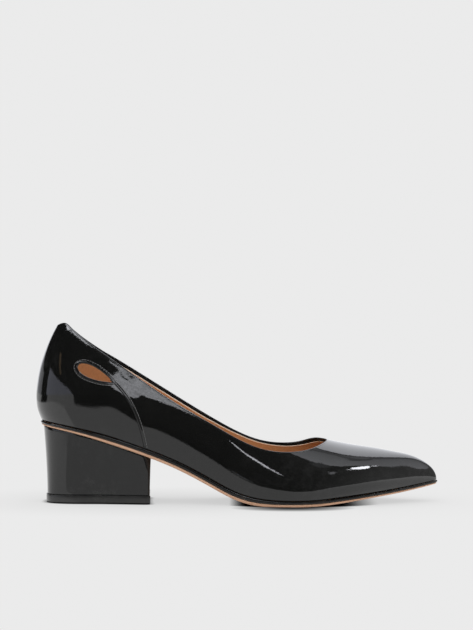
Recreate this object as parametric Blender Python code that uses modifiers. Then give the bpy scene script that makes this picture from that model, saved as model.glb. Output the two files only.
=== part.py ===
"""A right-foot court shoe in patent leather with a covered block heel.

Metres, +Z up. The toe points along +X, the outer (lateral) side of the foot faces -Y, the inner (medial)
side faces +Y, and the shoe stands on z = 0 with the middle of its box on the origin.
"""

import math
from typing import NamedTuple

import bmesh
import bpy
import numpy as np

MM = 0.001

# Driving dimensions.
LENGTH = 250 * MM  # back of the counter to the tip of the feather line, where upper meets rand
BALL_WIDTH = 76.5 * MM  # feather line across the ball
HEEL_RISE = 47 * MM  # feather line at the back of the heel over the feather line at the ball
INSTEP_RISE = 84 * MM  # ridge of the last over the feather line at the widest heel section
BACK_TOP = 111 * MM  # topline over the floor at the back of the heel
THROAT_ALONG = 0.727  # front of the collar opening, as a share of the length
CENTRE_SHIFT = 5.2 * MM  # heel centre line beside the middle of the box, towards the inner side

# Thicknesses and clearances.
WALL = 1.8 * MM
LAP_PROUD = 0.6 * MM  # how far the lapped and folded edges stand out of the wall
RAND_PROUD = 0.6 * MM
SOLE_INSET = 0.1 * MM
INSOLE_INSET = 2.7 * MM
INSOLE_THICKNESS = 1.5 * MM
TOP_PIECE_THICKNESS = 5.4 * MM
TOP_PIECE_PROUD = 0.5 * MM
GAP = 0.3 * MM  # between neighbouring pieces
WELD = 0.002 * MM

# Heel block.
HEEL_AXIS = -85 * MM  # widest section of the heel, where the rounded back begins
HEEL_DEPTH = LENGTH / 2 + HEEL_AXIS  # that section to the back of the counter
HEEL_SQUARENESS = 2.25  # plan exponent of the rounded back
HEEL_FOOT_SQUARENESS = 3.2  # plan exponent of the block's back at its bottom
HEEL_BACK = (-117.8 * MM, -120.4 * MM)  # back of the block at its bottom and at its top
HEEL_BREAST = (-53.2 * MM, -52.6 * MM)  # front of the block on the outer side, bottom and top
HEEL_SLANT = 2.2 * MM  # how much further back the front lies on the inner side
HEEL_INSET = (1.4 * MM, 0.6 * MM)  # sides of the block inside the feather line, bottom and top
HEEL_TAPER = 3.5 * MM  # how much further inside they lie at the bottom of the back
HEEL_CORNER = (1.6 * MM, 5.5 * MM)  # radius of the front corners, bottom and top
HEEL_HOLLOW = 1.2 * MM  # how far the breast is hollowed
CORNER_STEPS = 4
HOLLOW_STEPS = 6
HEEL_SIDE_STATIONS = 6
HEEL_LEVELS = 5

# Section of the last, from the feather line (0) to its ridge (1), as a curve with five control points.
SWELL_HEIGHT = 0.30
SHOULDER_HEIGHT = 0.75

# Teardrop cut-out in the outer quarter, in the side view: x, z.
TEAR_TIP = (-75.2 * MM, 75.0 * MM)
TEAR_LENGTH = 24.0 * MM
TEAR_BULGE = 4.75 * MM
TEAR_TILT = math.radians(155.5)
TEAR_POINTS = 30
RIM_WIDTH = 2.2 * MM
# Lapped seam from the teardrop's tip to the feather line, as a cubic: x, z.
SEAM_CONTROL = (
    (-77.0 * MM, 76.6 * MM),
    (-63.8 * MM, 65.0 * MM),
    (-57.6 * MM, 50.5 * MM),
    (-54.0 * MM, 29.0 * MM),
)
SEAM_POINTS = 14
CUT_OUTER = -70 * MM  # reach of the side-view cutters, outside the wall and inside the shoe
CUT_INNER = -4 * MM

# Mesh density.
ROWS = 13
VAMP_STATIONS = 12
THROAT_STATIONS = 7
THROAT_SPREAD = 0.2 * MM
QUARTER_STATIONS = 21
TURN_STATIONS = 9
STRIP_WIDTH = 5 * MM
SHARP_ANGLE = math.radians(35)


class BottomRow(NamedTuple):
    """Bottom of the shoe: place along it, rise of the feather line, rand and outsole in millimetres."""

    along: float
    rise: float
    rand: float
    sole: float


class SectionRow(NamedTuple):
    """Section of the last: place along it, then widths as shares of BALL_WIDTH from the ridge line.

    crest is the ridge's height over the feather line as a share of INSTEP_RISE. swell, shoulder and arch move
    the wall's control points outwards, arch on the inner side only. The crowns are the flat share of the top.
    """

    along: float
    lateral: float
    medial: float
    ridge: float
    crest: float
    swell: float
    shoulder: float
    arch: float
    lateral_crown: float
    medial_crown: float


class BackRow(NamedTuple):
    """Back curve of the counter: height over the feather line and setback, both as shares of BACK_TOP."""

    height: float
    setback: float


class TopRow(NamedTuple):
    """Topline: place along the feather line, then its height on each side as a share of BACK_TOP."""

    along: float
    lateral: float
    medial: float


BOTTOM = (
    BottomRow(0.000, 1.010, 1.8, 1.0),
    BottomRow(0.116, 0.904, 2.2, 1.4),
    BottomRow(0.192, 0.804, 2.8, 1.9),
    BottomRow(0.276, 0.654, 2.9, 1.9),
    BottomRow(0.356, 0.484, 3.0, 2.0),
    BottomRow(0.444, 0.245, 3.1, 2.0),
    BottomRow(0.494, 0.112, 3.0, 2.0),
    BottomRow(0.544, 0.034, 2.7, 1.9),
    BottomRow(0.600, 0.004, 2.3, 1.7),
    BottomRow(0.648, 0.000, 2.1, 1.6),
    BottomRow(0.700, 0.008, 2.1, 1.5),
    BottomRow(0.752, 0.034, 2.1, 1.4),
    BottomRow(0.820, 0.072, 1.9, 1.2),
    BottomRow(0.912, 0.130, 1.8, 1.1),
    BottomRow(1.000, 0.202, 1.6, 0.9),
)
BALL_FEATHER = 3.65 * MM

SECTIONS = (
    SectionRow(0.160, 0.342, 0.329, 0.000, 1.000, 0.100, 0.000, 0.000, 0.30, 0.30),
    SectionRow(0.276, 0.353, 0.307, 0.000, 0.905, 0.088, 0.000, 0.020, 0.44, 0.44),
    SectionRow(0.380, 0.370, 0.264, 0.004, 0.786, 0.070, -0.015, 0.040, 0.56, 0.56),
    SectionRow(0.460, 0.426, 0.286, 0.008, 0.685, 0.056, -0.015, 0.035, 0.56, 0.58),
    SectionRow(0.540, 0.522, 0.354, 0.012, 0.595, 0.050, -0.050, 0.012, 0.52, 0.66),
    SectionRow(0.600, 0.577, 0.403, 0.015, 0.531, 0.052, -0.070, 0.000, 0.48, 0.72),
    SectionRow(0.660, 0.585, 0.419, 0.016, 0.468, 0.056, -0.080, 0.000, 0.46, 0.76),
    SectionRow(0.728, 0.540, 0.388, 0.017, 0.398, 0.090, -0.030, 0.000, 0.46, 0.76),
    SectionRow(0.780, 0.483, 0.346, 0.017, 0.350, 0.098, 0.012, 0.000, 0.46, 0.72),
    SectionRow(0.836, 0.391, 0.280, 0.017, 0.307, 0.092, 0.036, 0.000, 0.48, 0.66),
    SectionRow(0.888, 0.286, 0.208, 0.015, 0.261, 0.060, 0.028, 0.000, 0.52, 0.60),
    SectionRow(0.932, 0.188, 0.138, 0.013, 0.215, 0.036, 0.016, 0.000, 0.56, 0.57),
    SectionRow(0.964, 0.114, 0.093, 0.010, 0.160, 0.016, 0.008, 0.000, 0.58, 0.58),
    SectionRow(0.986, 0.058, 0.052, 0.008, 0.101, 0.006, 0.002, 0.000, 0.58, 0.58),
    SectionRow(1.000, 0.000, 0.000, 0.006, 0.000, 0.000, 0.000, 0.000, 0.58, 0.58),
)

BACK = (
    BackRow(0.000, 0.0300),
    BackRow(0.054, 0.0085),
    BackRow(0.122, 0.0000),
    BackRow(0.200, 0.0055),
    BackRow(0.290, 0.0210),
    BackRow(0.380, 0.0480),
    BackRow(0.470, 0.0850),
    BackRow(0.560, 0.1340),
    BackRow(0.650, 0.1920),
)

TOPLINE = (
    TopRow(0.013, 0.986, 0.986),
    TopRow(0.036, 1.000, 0.986),
    TopRow(0.062, 0.978, 0.960),
    TopRow(0.108, 0.922, 0.902),
    TopRow(0.172, 0.832, 0.822),
    TopRow(0.260, 0.696, 0.702),
    TopRow(0.356, 0.552, 0.568),
    TopRow(0.452, 0.428, 0.438),
    TopRow(0.516, 0.350, 0.363),
    TopRow(0.572, 0.306, 0.321),
    TopRow(0.620, 0.294, 0.311),
    TopRow(0.668, 0.301, 0.326),
    TopRow(0.700, 0.320, 0.347),
)

LATERAL, MEDIAL = -1, 1


class Spline:
    """Cubic through a table's rows with continuous curvature, natural or with a level start or end."""

    def __init__(self, places, values, level_end=False):
        self.places = np.asarray(places, dtype=float)
        self.values = np.asarray(values, dtype=float)
        self.bends = self._solve(level_end)

    def _solve(self, level_end):
        steps = np.diff(self.places)
        slopes = np.diff(self.values) / steps
        count = len(self.places)
        matrix = np.eye(count)
        right = np.zeros(count)
        for row in range(1, count - 1):
            matrix[row, row - 1 : row + 2] = steps[row - 1], 2 * (steps[row - 1] + steps[row]), steps[row]
            right[row] = 6 * (slopes[row] - slopes[row - 1])
        if level_end:
            matrix[-1, -2:] = steps[-1], 2 * steps[-1]
            right[-1] = -6 * slopes[-1]
        return np.linalg.solve(matrix, right)

    def __call__(self, place):
        last = len(self.places) - 2
        cell = np.clip(np.searchsorted(self.places, place) - 1, 0, last)
        step = self.places[cell + 1] - self.places[cell]
        after = (self.places[cell + 1] - place) / step
        before = 1 - after
        bend = (after**3 - after) * self.bends[cell] + (before**3 - before) * self.bends[cell + 1]
        return after * self.values[cell] + before * self.values[cell + 1] + bend * step**2 / 6


def station(along):
    """x of a place along the shoe."""
    return (along - 0.5) * LENGTH


TOE_TIP = station(1.0)
THROAT = station(THROAT_ALONG)


def toeward(x):
    """Root of the distance to the toe tip, in which the rounded toe is a straight run."""
    return np.sqrt(np.maximum(TOE_TIP - x, 0.0))


def bottom_column(name, unit):
    """A column of the bottom table as a function of x."""
    places = [station(row.along) for row in BOTTOM]
    return Spline(places, [getattr(row, name) * unit for row in BOTTOM])


def section_column(name, unit):
    """A column of the section table as a function of toeward(x), level where the rounded heel begins."""
    rows = SECTIONS[::-1]
    places = [toeward(station(row.along)) for row in rows]
    return Spline(places, [getattr(row, name) * unit for row in rows], level_end=True)


FEATHER_RISE = bottom_column("rise", HEEL_RISE)
RAND_THICKNESS = bottom_column("rand", MM)
SOLE_THICKNESS = bottom_column("sole", MM)
WIDTH = {LATERAL: section_column("lateral", BALL_WIDTH), MEDIAL: section_column("medial", BALL_WIDTH)}
RIDGE = section_column("ridge", BALL_WIDTH)
CREST = section_column("crest", INSTEP_RISE)
SWELL = section_column("swell", BALL_WIDTH)
SHOULDER = section_column("shoulder", BALL_WIDTH)
ARCH = section_column("arch", BALL_WIDTH)
CROWN = {LATERAL: section_column("lateral_crown", 1.0), MEDIAL: section_column("medial_crown", 1.0)}
SETBACK = Spline([row.height * BACK_TOP for row in BACK], [row.setback * BACK_TOP for row in BACK])


def feather(x):
    """Height of the line where upper and rand meet."""
    return BALL_FEATHER + FEATHER_RISE(x)


def rand_bottom(x):
    """Height of the rand's underside."""
    return feather(x) - RAND_THICKNESS(x)


def sole_bottom(x):
    """Height of the outsole's underside, worn flat on the floor at the ball."""
    return np.maximum(rand_bottom(x) - SOLE_THICKNESS(x), 0.0)


def ridge_height(x):
    """Height of the last's ridge."""
    return feather(x) + CREST(toeward(x))


def topline(side):
    """Height of the topline on one side as a function of x on the feather line."""
    name = "lateral" if side == LATERAL else "medial"
    places = [station(row.along) for row in TOPLINE] + [THROAT]
    heights = [getattr(row, name) * BACK_TOP for row in TOPLINE] + [ridge_height(THROAT)]
    return Spline(places, heights)


TOP_HEIGHT = {side: topline(side) for side in (LATERAL, MEDIAL)}


def bezier(controls, share):
    """Point of a Bezier curve of any degree."""
    degree = len(controls) - 1
    total = 0.0
    for index, control in enumerate(controls):
        weight = math.comb(degree, index) * share**index * (1 - share) ** (degree - index)
        total = total + weight * control
    return total


class Column(NamedTuple):
    """A line up the wall: its side, its x on the straight part and its turn around the heel."""

    side: int
    x: float
    turn: float

    def plan(self, across, depth):
        """Plan position at half-width across, and at depth behind the heel axis on the rounded back."""
        if self.turn == 0:
            return self.x, RIDGE(toeward(self.x)) + self.side * across
        back = depth * math.sin(self.turn) ** (2 / HEEL_SQUARENESS)
        return HEEL_AXIS - back, RIDGE(toeward(HEEL_AXIS)) + self.side * across * math.cos(self.turn)

    def base(self):
        """Plan position on the feather line."""
        return self.plan(WIDTH[self.side](toeward(self.x)), HEEL_DEPTH - SETBACK(0.0))

    def height(self, share):
        """Height over the feather line at a share of the way to the ridge."""
        crest = CREST(toeward(self.x))
        return bezier((0.0, SWELL_HEIGHT * crest, SHOULDER_HEIGHT * crest, crest, crest), share)

    def point(self, share, proud):
        """Point of the wall, moved out of the last by proud."""
        place = toeward(self.x)
        width = WIDTH[self.side](place)
        arch = ARCH(place) if self.side == MEDIAL else 0.0
        swell = width + SWELL(place) + arch
        shoulder = width + SHOULDER(place) + arch
        across = bezier((width, swell, shoulder, width * CROWN[self.side](place), 0.0), share)
        height = self.height(share)
        x, y = self.plan(across + proud, HEEL_DEPTH - SETBACK(height) + proud)
        return x, y + CENTRE_SHIFT, feather(self.base()[0]) + height + GAP / 2

    def top(self):
        """Share at which the wall ends, on the topline or at the ridge."""
        x = self.base()[0]
        if x >= THROAT:
            return 1.0
        target = TOP_HEIGHT[self.side](x) - feather(x)
        low, high = 0.0, 1.0
        for _ in range(50):
            middle = (low + high) / 2
            if self.height(middle) < target:
                low = middle
            else:
                high = middle
        return low


def half_columns(side):
    """Columns of one side from the toe tip to the middle of the heel's back."""
    vamp = [TOE_TIP - (toeward(THROAT) * step / VAMP_STATIONS) ** 2 for step in range(VAMP_STATIONS + 1)]
    throat = [THROAT - THROAT_SPREAD * step**2 for step in range(1, THROAT_STATIONS + 1)]
    quarter = np.linspace(throat[-1], HEEL_AXIS, QUARTER_STATIONS + 1)[1:]
    straight = [Column(side, float(x), 0.0) for x in (*vamp, *throat, *quarter)]
    turns = [math.pi / 2 * step / TURN_STATIONS for step in range(1, TURN_STATIONS + 1)]
    return straight + [Column(side, HEEL_AXIS, turn) for turn in turns]


def all_columns():
    """Columns once round the shoe: outer side from the toe, then inner side back to the toe."""
    return half_columns(LATERAL) + half_columns(MEDIAL)[-2::-1]


def offset_outline(points, distance):
    """Closed plan outline moved outwards by distance."""
    points = np.asarray(points)
    along = np.roll(points, -1, axis=0) - np.roll(points, 1, axis=0)
    normals = np.stack((along[:, 1], -along[:, 0]), axis=1)
    normals /= np.linalg.norm(normals, axis=1)[:, None]
    area = np.sum(points[:, 0] * np.roll(points[:, 1], -1) - points[:, 1] * np.roll(points[:, 0], -1))
    return points + normals * distance * np.sign(area)


def feather_outline(distance):
    """Feather line in plan, moved outwards by distance, one point for each column."""
    points = [column.base() for column in all_columns()[:-1]]
    return offset_outline([(x, y + CENTRE_SHIFT) for x, y in points], distance)


def material(name, colour, roughness):
    """Principled material of one part."""
    made = bpy.data.materials.new(name)
    made.use_nodes = True
    shader = made.node_tree.nodes["Principled BSDF"]
    shader.inputs["Base Color"].default_value = (*colour, 1.0)
    shader.inputs["Roughness"].default_value = roughness
    shader.inputs["Metallic"].default_value = 0.0
    return made


def add_object(name, bm, group, look=None):
    """Object from a bmesh, in a collection."""
    mesh = bpy.data.meshes.new(name)
    bm.to_mesh(mesh)
    bm.free()
    mesh.shade_smooth()
    mesh.set_sharp_from_angle(angle=SHARP_ANGLE)
    made = bpy.data.objects.new(name, mesh)
    group.objects.link(made)
    if look is not None:
        mesh.materials.append(look)
    return made


def sheet(points):
    """Surface through rows of points: a grid laid on them, welded where they coincide."""
    points = np.asarray(points)
    rows, columns = points.shape[:2]
    bm = bmesh.new()
    bmesh.ops.create_grid(bm, x_segments=columns - 1, y_segments=rows - 1, size=1.0)
    for vertex, point in zip(bm.verts, points.reshape(-1, 3)):
        vertex.co = point
    bmesh.ops.remove_doubles(bm, verts=bm.verts, dist=WELD)
    bmesh.ops.dissolve_degenerate(bm, edges=bm.edges, dist=WELD)
    return bm


def stack(rings, levels):
    """Closed body through plan outlines, one for each level between 0 and 1."""
    rows = []
    for ring, level in zip(rings, levels):
        rows.append([(x, y, level) for x, y in (*ring, ring[0])])
    bm = sheet(rows)
    bmesh.ops.holes_fill(bm, edges=bm.edges)
    bmesh.ops.recalc_face_normals(bm, faces=bm.faces)
    return bm


def drape(bm, lower, upper, first, last):
    """Cut a body of height 1 into strips across the shoe and lay it between two curves of x."""
    for x in np.arange(first, last, STRIP_WIDTH):
        geometry = bm.verts[:] + bm.edges[:] + bm.faces[:]
        bmesh.ops.bisect_plane(bm, geom=geometry, dist=WELD, plane_co=(x, 0, 0), plane_no=(1, 0, 0))
    for vertex in bm.verts:
        low, high = lower(vertex.co.x), upper(vertex.co.x)
        vertex.co.z = low + (high - low) * vertex.co.z
    bmesh.ops.triangulate(bm, faces=bm.faces)


def wall_sheet(columns, proud):
    """Outer face of the upper over some columns."""
    tops = [column.top() for column in columns]
    rows = []
    for row in range(ROWS + 1):
        share = row / ROWS
        rows.append([column.point(share * top, proud) for column, top in zip(columns, tops)])
    bm = sheet(rows)
    bmesh.ops.reverse_faces(bm, faces=bm.faces)
    return bm


def thicken(body, thickness):
    """Give a surface a wall on its inner side."""
    wall = body.modifiers.new("wall", "SOLIDIFY")
    wall.thickness = thickness
    wall.offset = -1.0
    wall.use_even_offset = True
    facets = body.modifiers.new("facets", "TRIANGULATE")
    facets.quad_method = "SHORTEST_DIAGONAL"


def combine(body, operation, other):
    """Boolean of a body with another one."""
    cut = body.modifiers.new(other.name, "BOOLEAN")
    cut.operation = operation
    cut.object = other
    cut.solver = "EXACT"


def side_prism(name, outline, group):
    """Prism across the outer wall from an outline in the side view."""
    rows = []
    for y in (CUT_OUTER, CUT_INNER):
        rows.append([(x, y, z) for x, z in (*outline, outline[0])])
    bm = sheet(rows)
    bmesh.ops.holes_fill(bm, edges=bm.edges)
    bmesh.ops.recalc_face_normals(bm, faces=bm.faces)
    bmesh.ops.triangulate(bm, faces=bm.faces)
    return add_object(name, bm, group)


def teardrop(grow):
    """Teardrop in the side view, moved outwards by grow."""
    points = []
    for step in range(TEAR_POINTS):
        angle = 2 * math.pi * step / TEAR_POINTS
        along = TEAR_LENGTH / 2 * (1 - math.cos(angle))
        across = TEAR_BULGE * math.sin(angle) * abs(math.sin(angle / 2))
        x = TEAR_TIP[0] + along * math.cos(TEAR_TILT) - across * math.sin(TEAR_TILT)
        z = TEAR_TIP[1] + along * math.sin(TEAR_TILT) + across * math.cos(TEAR_TILT)
        points.append((x, z))
    return offset_outline(points, grow) if grow else np.array(points)


def seam_strip():
    """Strip in the side view from the lapped seam to the line of its stitches."""
    controls = [np.array(control) for control in SEAM_CONTROL]
    line = np.array([bezier(controls, step / SEAM_POINTS) for step in range(SEAM_POINTS + 1)])
    along = np.gradient(line, axis=0)
    ahead = np.stack((-along[:, 1], along[:, 0]), axis=1)
    ahead /= np.linalg.norm(ahead, axis=1)[:, None]
    return np.concatenate((line, (line + ahead * RIM_WIDTH)[::-1]))


def build_upper(group, cutters):
    """Upper: a wall drawn over the last, with a lapped seam and a rimmed teardrop on the outer side."""
    look = material("patent_leather", (0.006, 0.006, 0.006), 0.06)
    upper = add_object("upper", wall_sheet(all_columns(), 0.0), group, look)
    thicken(upper, WALL)
    lap = add_object("lap", wall_sheet(half_columns(LATERAL)[VAMP_STATIONS + 2 :], LAP_PROUD), cutters)
    thicken(lap, LAP_PROUD + WALL / 2)
    edge = side_prism("lap_edge", teardrop(RIM_WIDTH), cutters)
    combine(edge, "UNION", side_prism("seam_edge", seam_strip(), cutters))
    combine(lap, "INTERSECT", edge)
    combine(upper, "UNION", lap)
    combine(upper, "DIFFERENCE", side_prism("teardrop", teardrop(0.0), cutters))
    return upper


def plate(name, group, look, profile, lower, upper):
    """Layer of the bottom: outlines as (level, distance from the feather line), laid between two curves."""
    rings = [feather_outline(distance) for _, distance in profile]
    bm = stack(rings, [level for level, _ in profile])
    drape(bm, lower, upper, -LENGTH / 2 + STRIP_WIDTH, LENGTH / 2)
    return add_object(name, bm, group, look)


def build_insole(group):
    """Insole lying on the rand inside the upper."""
    look = material("insole_leather", (0.38, 0.17, 0.08), 0.45)
    profile = ((0.0, -INSOLE_INSET), (0.6, -INSOLE_INSET), (1.0, -INSOLE_INSET - 0.7 * MM))
    return plate(
        "insole",
        group,
        look,
        profile,
        lambda x: feather(x) + GAP / 2,
        lambda x: feather(x) + GAP / 2 + INSOLE_THICKNESS,
    )


def build_rand(group):
    """Rand: a covered layer with a rounded edge between the upper and the outsole."""
    look = material("rand_patent", (0.008, 0.008, 0.008), 0.15)
    profile = (
        (0.0, RAND_PROUD - 0.6 * MM),
        (0.25, RAND_PROUD - 0.1 * MM),
        (0.6, RAND_PROUD),
        (1.0, RAND_PROUD - 0.7 * MM),
    )
    return plate(
        "rand",
        group,
        look,
        profile,
        lambda x: rand_bottom(x) + GAP / 2,
        lambda x: feather(x) - GAP / 2,
    )


def build_outsole(group):
    """Outsole: a leather layer with a bevelled lower edge."""
    look = material("sole_leather", (0.55, 0.34, 0.21), 0.5)
    profile = ((0.0, -SOLE_INSET - 1.0 * MM), (0.4, -SOLE_INSET - 0.2 * MM), (1.0, -SOLE_INSET))
    return plate("outsole", group, look, profile, sole_bottom, lambda x: rand_bottom(x) - GAP / 2)


def heel_ring(share, proud):
    """Outline of the heel block at a share of its height, moved outwards by proud."""
    back = HEEL_BACK[0] + (HEEL_BACK[1] - HEEL_BACK[0]) * share**1.5
    breast = HEEL_BREAST[0] + (HEEL_BREAST[1] - HEEL_BREAST[0]) * share
    inset = HEEL_INSET[0] + (HEEL_INSET[1] - HEEL_INSET[0]) * share
    radius = HEEL_CORNER[0] + (HEEL_CORNER[1] - HEEL_CORNER[0]) * share**3
    taper = HEEL_TAPER * (1 - share)
    foot = 2 / HEEL_FOOT_SQUARENESS
    lengthwise = foot + (2 / HEEL_SQUARENESS - foot) * share
    crosswise = foot + (1 - foot) * share
    sides = {}
    for side in (LATERAL, MEDIAL):
        front = breast - (HEEL_SLANT if side == MEDIAL else 0.0)
        corner = WIDTH[side](toeward(front)) - inset - radius
        arc = []
        for step in range(CORNER_STEPS + 1):
            angle = math.pi / 2 * step / CORNER_STEPS
            ahead = front - radius + radius * math.cos(angle)
            arc.append((ahead, side * (corner + radius * math.sin(angle))))
        straight = []
        start = front - radius
        for x in np.linspace(start, HEEL_AXIS, HEEL_SIDE_STATIONS)[1:]:
            narrow = taper * (start - x) / (start - HEEL_AXIS)
            straight.append((x, side * (WIDTH[side](toeward(x)) - inset - narrow)))
        turned = []
        width = WIDTH[side](toeward(HEEL_AXIS)) - inset - taper
        for step in range(1, TURN_STATIONS + 1):
            turn = math.pi / 2 * step / TURN_STATIONS
            depth = (HEEL_AXIS - back) * math.sin(turn) ** lengthwise
            across = width * math.cos(turn) ** crosswise
            turned.append((HEEL_AXIS - depth, side * across))
        sides[side] = arc + straight + turned
    hollow = []
    outer, inner = sides[LATERAL][0], sides[MEDIAL][0]
    for step in range(1, HOLLOW_STEPS):
        part = step / HOLLOW_STEPS
        sink = HEEL_HOLLOW * 4 * part * (1 - part)
        along = inner[0] + (outer[0] - inner[0]) * part - sink
        hollow.append((along, inner[1] + (outer[1] - inner[1]) * part))
    ring = sides[LATERAL] + sides[MEDIAL][-2::-1] + hollow
    return offset_outline([(x, y + CENTRE_SHIFT) for x, y in ring], proud)


def build_heel(group):
    """Heel block: lofted from its outline on the top piece to its outline under the outsole."""
    look = material("heel_patent", (0.008, 0.008, 0.008), 0.08)
    levels = [step / HEEL_LEVELS for step in range(HEEL_LEVELS + 1)]
    bm = stack([heel_ring(level, 0.0) for level in levels], levels)
    floor = TOP_PIECE_THICKNESS + GAP
    first, last = -LENGTH / 2 + 2 * STRIP_WIDTH, HEEL_BREAST[0] - HEEL_SLANT - HEEL_CORNER[1]
    drape(bm, lambda x: floor, lambda x: sole_bottom(x) - GAP, first, last)
    return add_object("heel", bm, group, look)


def build_top_piece(group):
    """Top piece: the flat wearing layer under the heel block."""
    look = material("top_piece_rubber", (0.02, 0.02, 0.02), 0.35)
    profile = ((0.0, TOP_PIECE_PROUD - 0.5 * MM), (0.1, TOP_PIECE_PROUD), (1.0, TOP_PIECE_PROUD))
    bm = stack([heel_ring(0.0, proud) for _, proud in profile], [level for level, _ in profile])
    for vertex in bm.verts:
        vertex.co.z *= TOP_PIECE_THICKNESS
    bmesh.ops.triangulate(bm, faces=bm.faces)
    return add_object("top_piece", bm, group, look)


def new_collection(name):
    """Collection linked to the scene."""
    made = bpy.data.collections.new(name)
    bpy.context.scene.collection.children.link(made)
    return made


def main():
    """Build the shoe."""
    for old in list(bpy.data.objects):
        bpy.data.objects.remove(old)
    shoe = new_collection("court_shoe")
    cutters = new_collection("cutters")
    build_upper(shoe, cutters)
    build_insole(shoe)
    build_rand(shoe)
    build_outsole(shoe)
    build_heel(shoe)
    build_top_piece(shoe)
    for cutter in cutters.objects:
        cutter.hide_render = True
        cutter.display_type = "WIRE"


main()
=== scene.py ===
"""Looks of a right-foot court shoe: black patent leather, tan lining and a covered block heel.

Metres, +Z up. The toe points along +X and the outer side of the foot faces -Y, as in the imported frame.
The upper, the layers under it and the heel are drawn over one last, from the same tables as the solids.
"""

import logging
import math
from abc import ABC, abstractmethod
from contextlib import contextmanager
from dataclasses import dataclass
from enum import Enum, IntEnum
from functools import cached_property
from typing import Callable, Iterator, NamedTuple, Sequence

import bpy
import numpy as np
from bpy.types import Material, Modifier, Node, NodeSocket, NodeTree, Object, bpy_prop_collection
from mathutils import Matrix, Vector
from mathutils.bvhtree import BVHTree


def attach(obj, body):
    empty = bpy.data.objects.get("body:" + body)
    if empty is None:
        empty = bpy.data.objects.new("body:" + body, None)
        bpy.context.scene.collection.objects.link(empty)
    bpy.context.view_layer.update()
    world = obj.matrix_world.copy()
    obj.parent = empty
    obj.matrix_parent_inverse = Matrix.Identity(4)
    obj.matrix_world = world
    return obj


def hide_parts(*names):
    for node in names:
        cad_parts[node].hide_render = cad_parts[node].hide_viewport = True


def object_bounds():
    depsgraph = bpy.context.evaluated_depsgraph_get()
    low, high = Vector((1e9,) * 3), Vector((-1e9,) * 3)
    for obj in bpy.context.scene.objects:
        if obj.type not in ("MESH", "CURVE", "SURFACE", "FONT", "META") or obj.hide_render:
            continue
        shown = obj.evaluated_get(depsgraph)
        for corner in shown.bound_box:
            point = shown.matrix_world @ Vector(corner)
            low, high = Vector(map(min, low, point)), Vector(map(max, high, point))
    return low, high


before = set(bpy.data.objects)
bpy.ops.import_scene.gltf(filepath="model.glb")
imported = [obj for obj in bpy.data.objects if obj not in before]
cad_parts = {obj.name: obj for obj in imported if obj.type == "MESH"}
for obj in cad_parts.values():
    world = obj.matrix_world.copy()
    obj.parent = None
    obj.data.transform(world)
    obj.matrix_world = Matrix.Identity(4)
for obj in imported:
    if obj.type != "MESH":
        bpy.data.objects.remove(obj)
CAD_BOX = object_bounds()

log = logging.getLogger("court_shoe")

MM = 0.001
WELD = 0.002 * MM
BODY = "root"
AXES = 3
RAY_START = 0.2
LEAST_STEPS = 4
ROUNDING_STEPS = 3

# Sockets of a mix node that blends colours: its share, first and second colour, and its result.
MIX_INPUTS = (0, 6, 7)
MIX_RESULT = 2

Pair = tuple[float, float]
Triple = tuple[float, float, float]
Colour = Triple
Sockets = bpy_prop_collection
Feed = float | tuple[float, ...] | NodeSocket
Curve = Callable[[np.ndarray], np.ndarray]


class Side(IntEnum):
    """Side of the foot, as the sign of y from the ridge of the last."""

    LATERAL = -1
    MEDIAL = 1


class Slot(Enum):
    """Material slots of the record."""

    PATENT = "patent_leather"
    INSOLE = "insole_leather"
    RAND = "rand_leather"
    SOLE = "sole_leather"
    HEEL = "heel_cover"
    TOP_PIECE = "top_piece"


class BottomRow(NamedTuple):
    """Bottom of the shoe: place along it, rise of the feather line, rand and outsole in millimetres."""

    along: float
    rise: float
    rand: float
    sole: float


class SectionRow(NamedTuple):
    """Section of the last: place along it, then widths as shares of the ball width from the ridge line.

    crest is the ridge's height as a share of the instep rise. swell, shoulder and arch move the wall's
    control points outwards, arch on the inner side only. The crowns are the flat share of the top.
    """

    along: float
    lateral: float
    medial: float
    ridge: float
    crest: float
    swell: float
    shoulder: float
    arch: float
    lateral_crown: float
    medial_crown: float


class BackRow(NamedTuple):
    """Back curve of the counter: height over the feather line and setback, as shares of the back height."""

    height: float
    setback: float


class TopRow(NamedTuple):
    """Topline: place along the feather line, then its height on each side as a share of the back height."""

    along: float
    lateral: float
    medial: float


BOTTOM = (
    BottomRow(0.000, 1.010, 1.8, 1.0),
    BottomRow(0.116, 0.904, 2.2, 1.4),
    BottomRow(0.192, 0.804, 2.8, 1.9),
    BottomRow(0.276, 0.654, 2.9, 1.9),
    BottomRow(0.356, 0.484, 3.0, 2.0),
    BottomRow(0.444, 0.245, 3.1, 2.0),
    BottomRow(0.494, 0.112, 3.0, 2.0),
    BottomRow(0.544, 0.034, 2.7, 1.9),
    BottomRow(0.600, 0.004, 2.3, 1.7),
    BottomRow(0.648, 0.000, 2.1, 1.6),
    BottomRow(0.700, 0.008, 2.1, 1.5),
    BottomRow(0.752, 0.034, 2.1, 1.4),
    BottomRow(0.820, 0.072, 1.9, 1.2),
    BottomRow(0.912, 0.130, 1.8, 1.1),
    BottomRow(1.000, 0.202, 1.6, 0.9),
)

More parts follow.
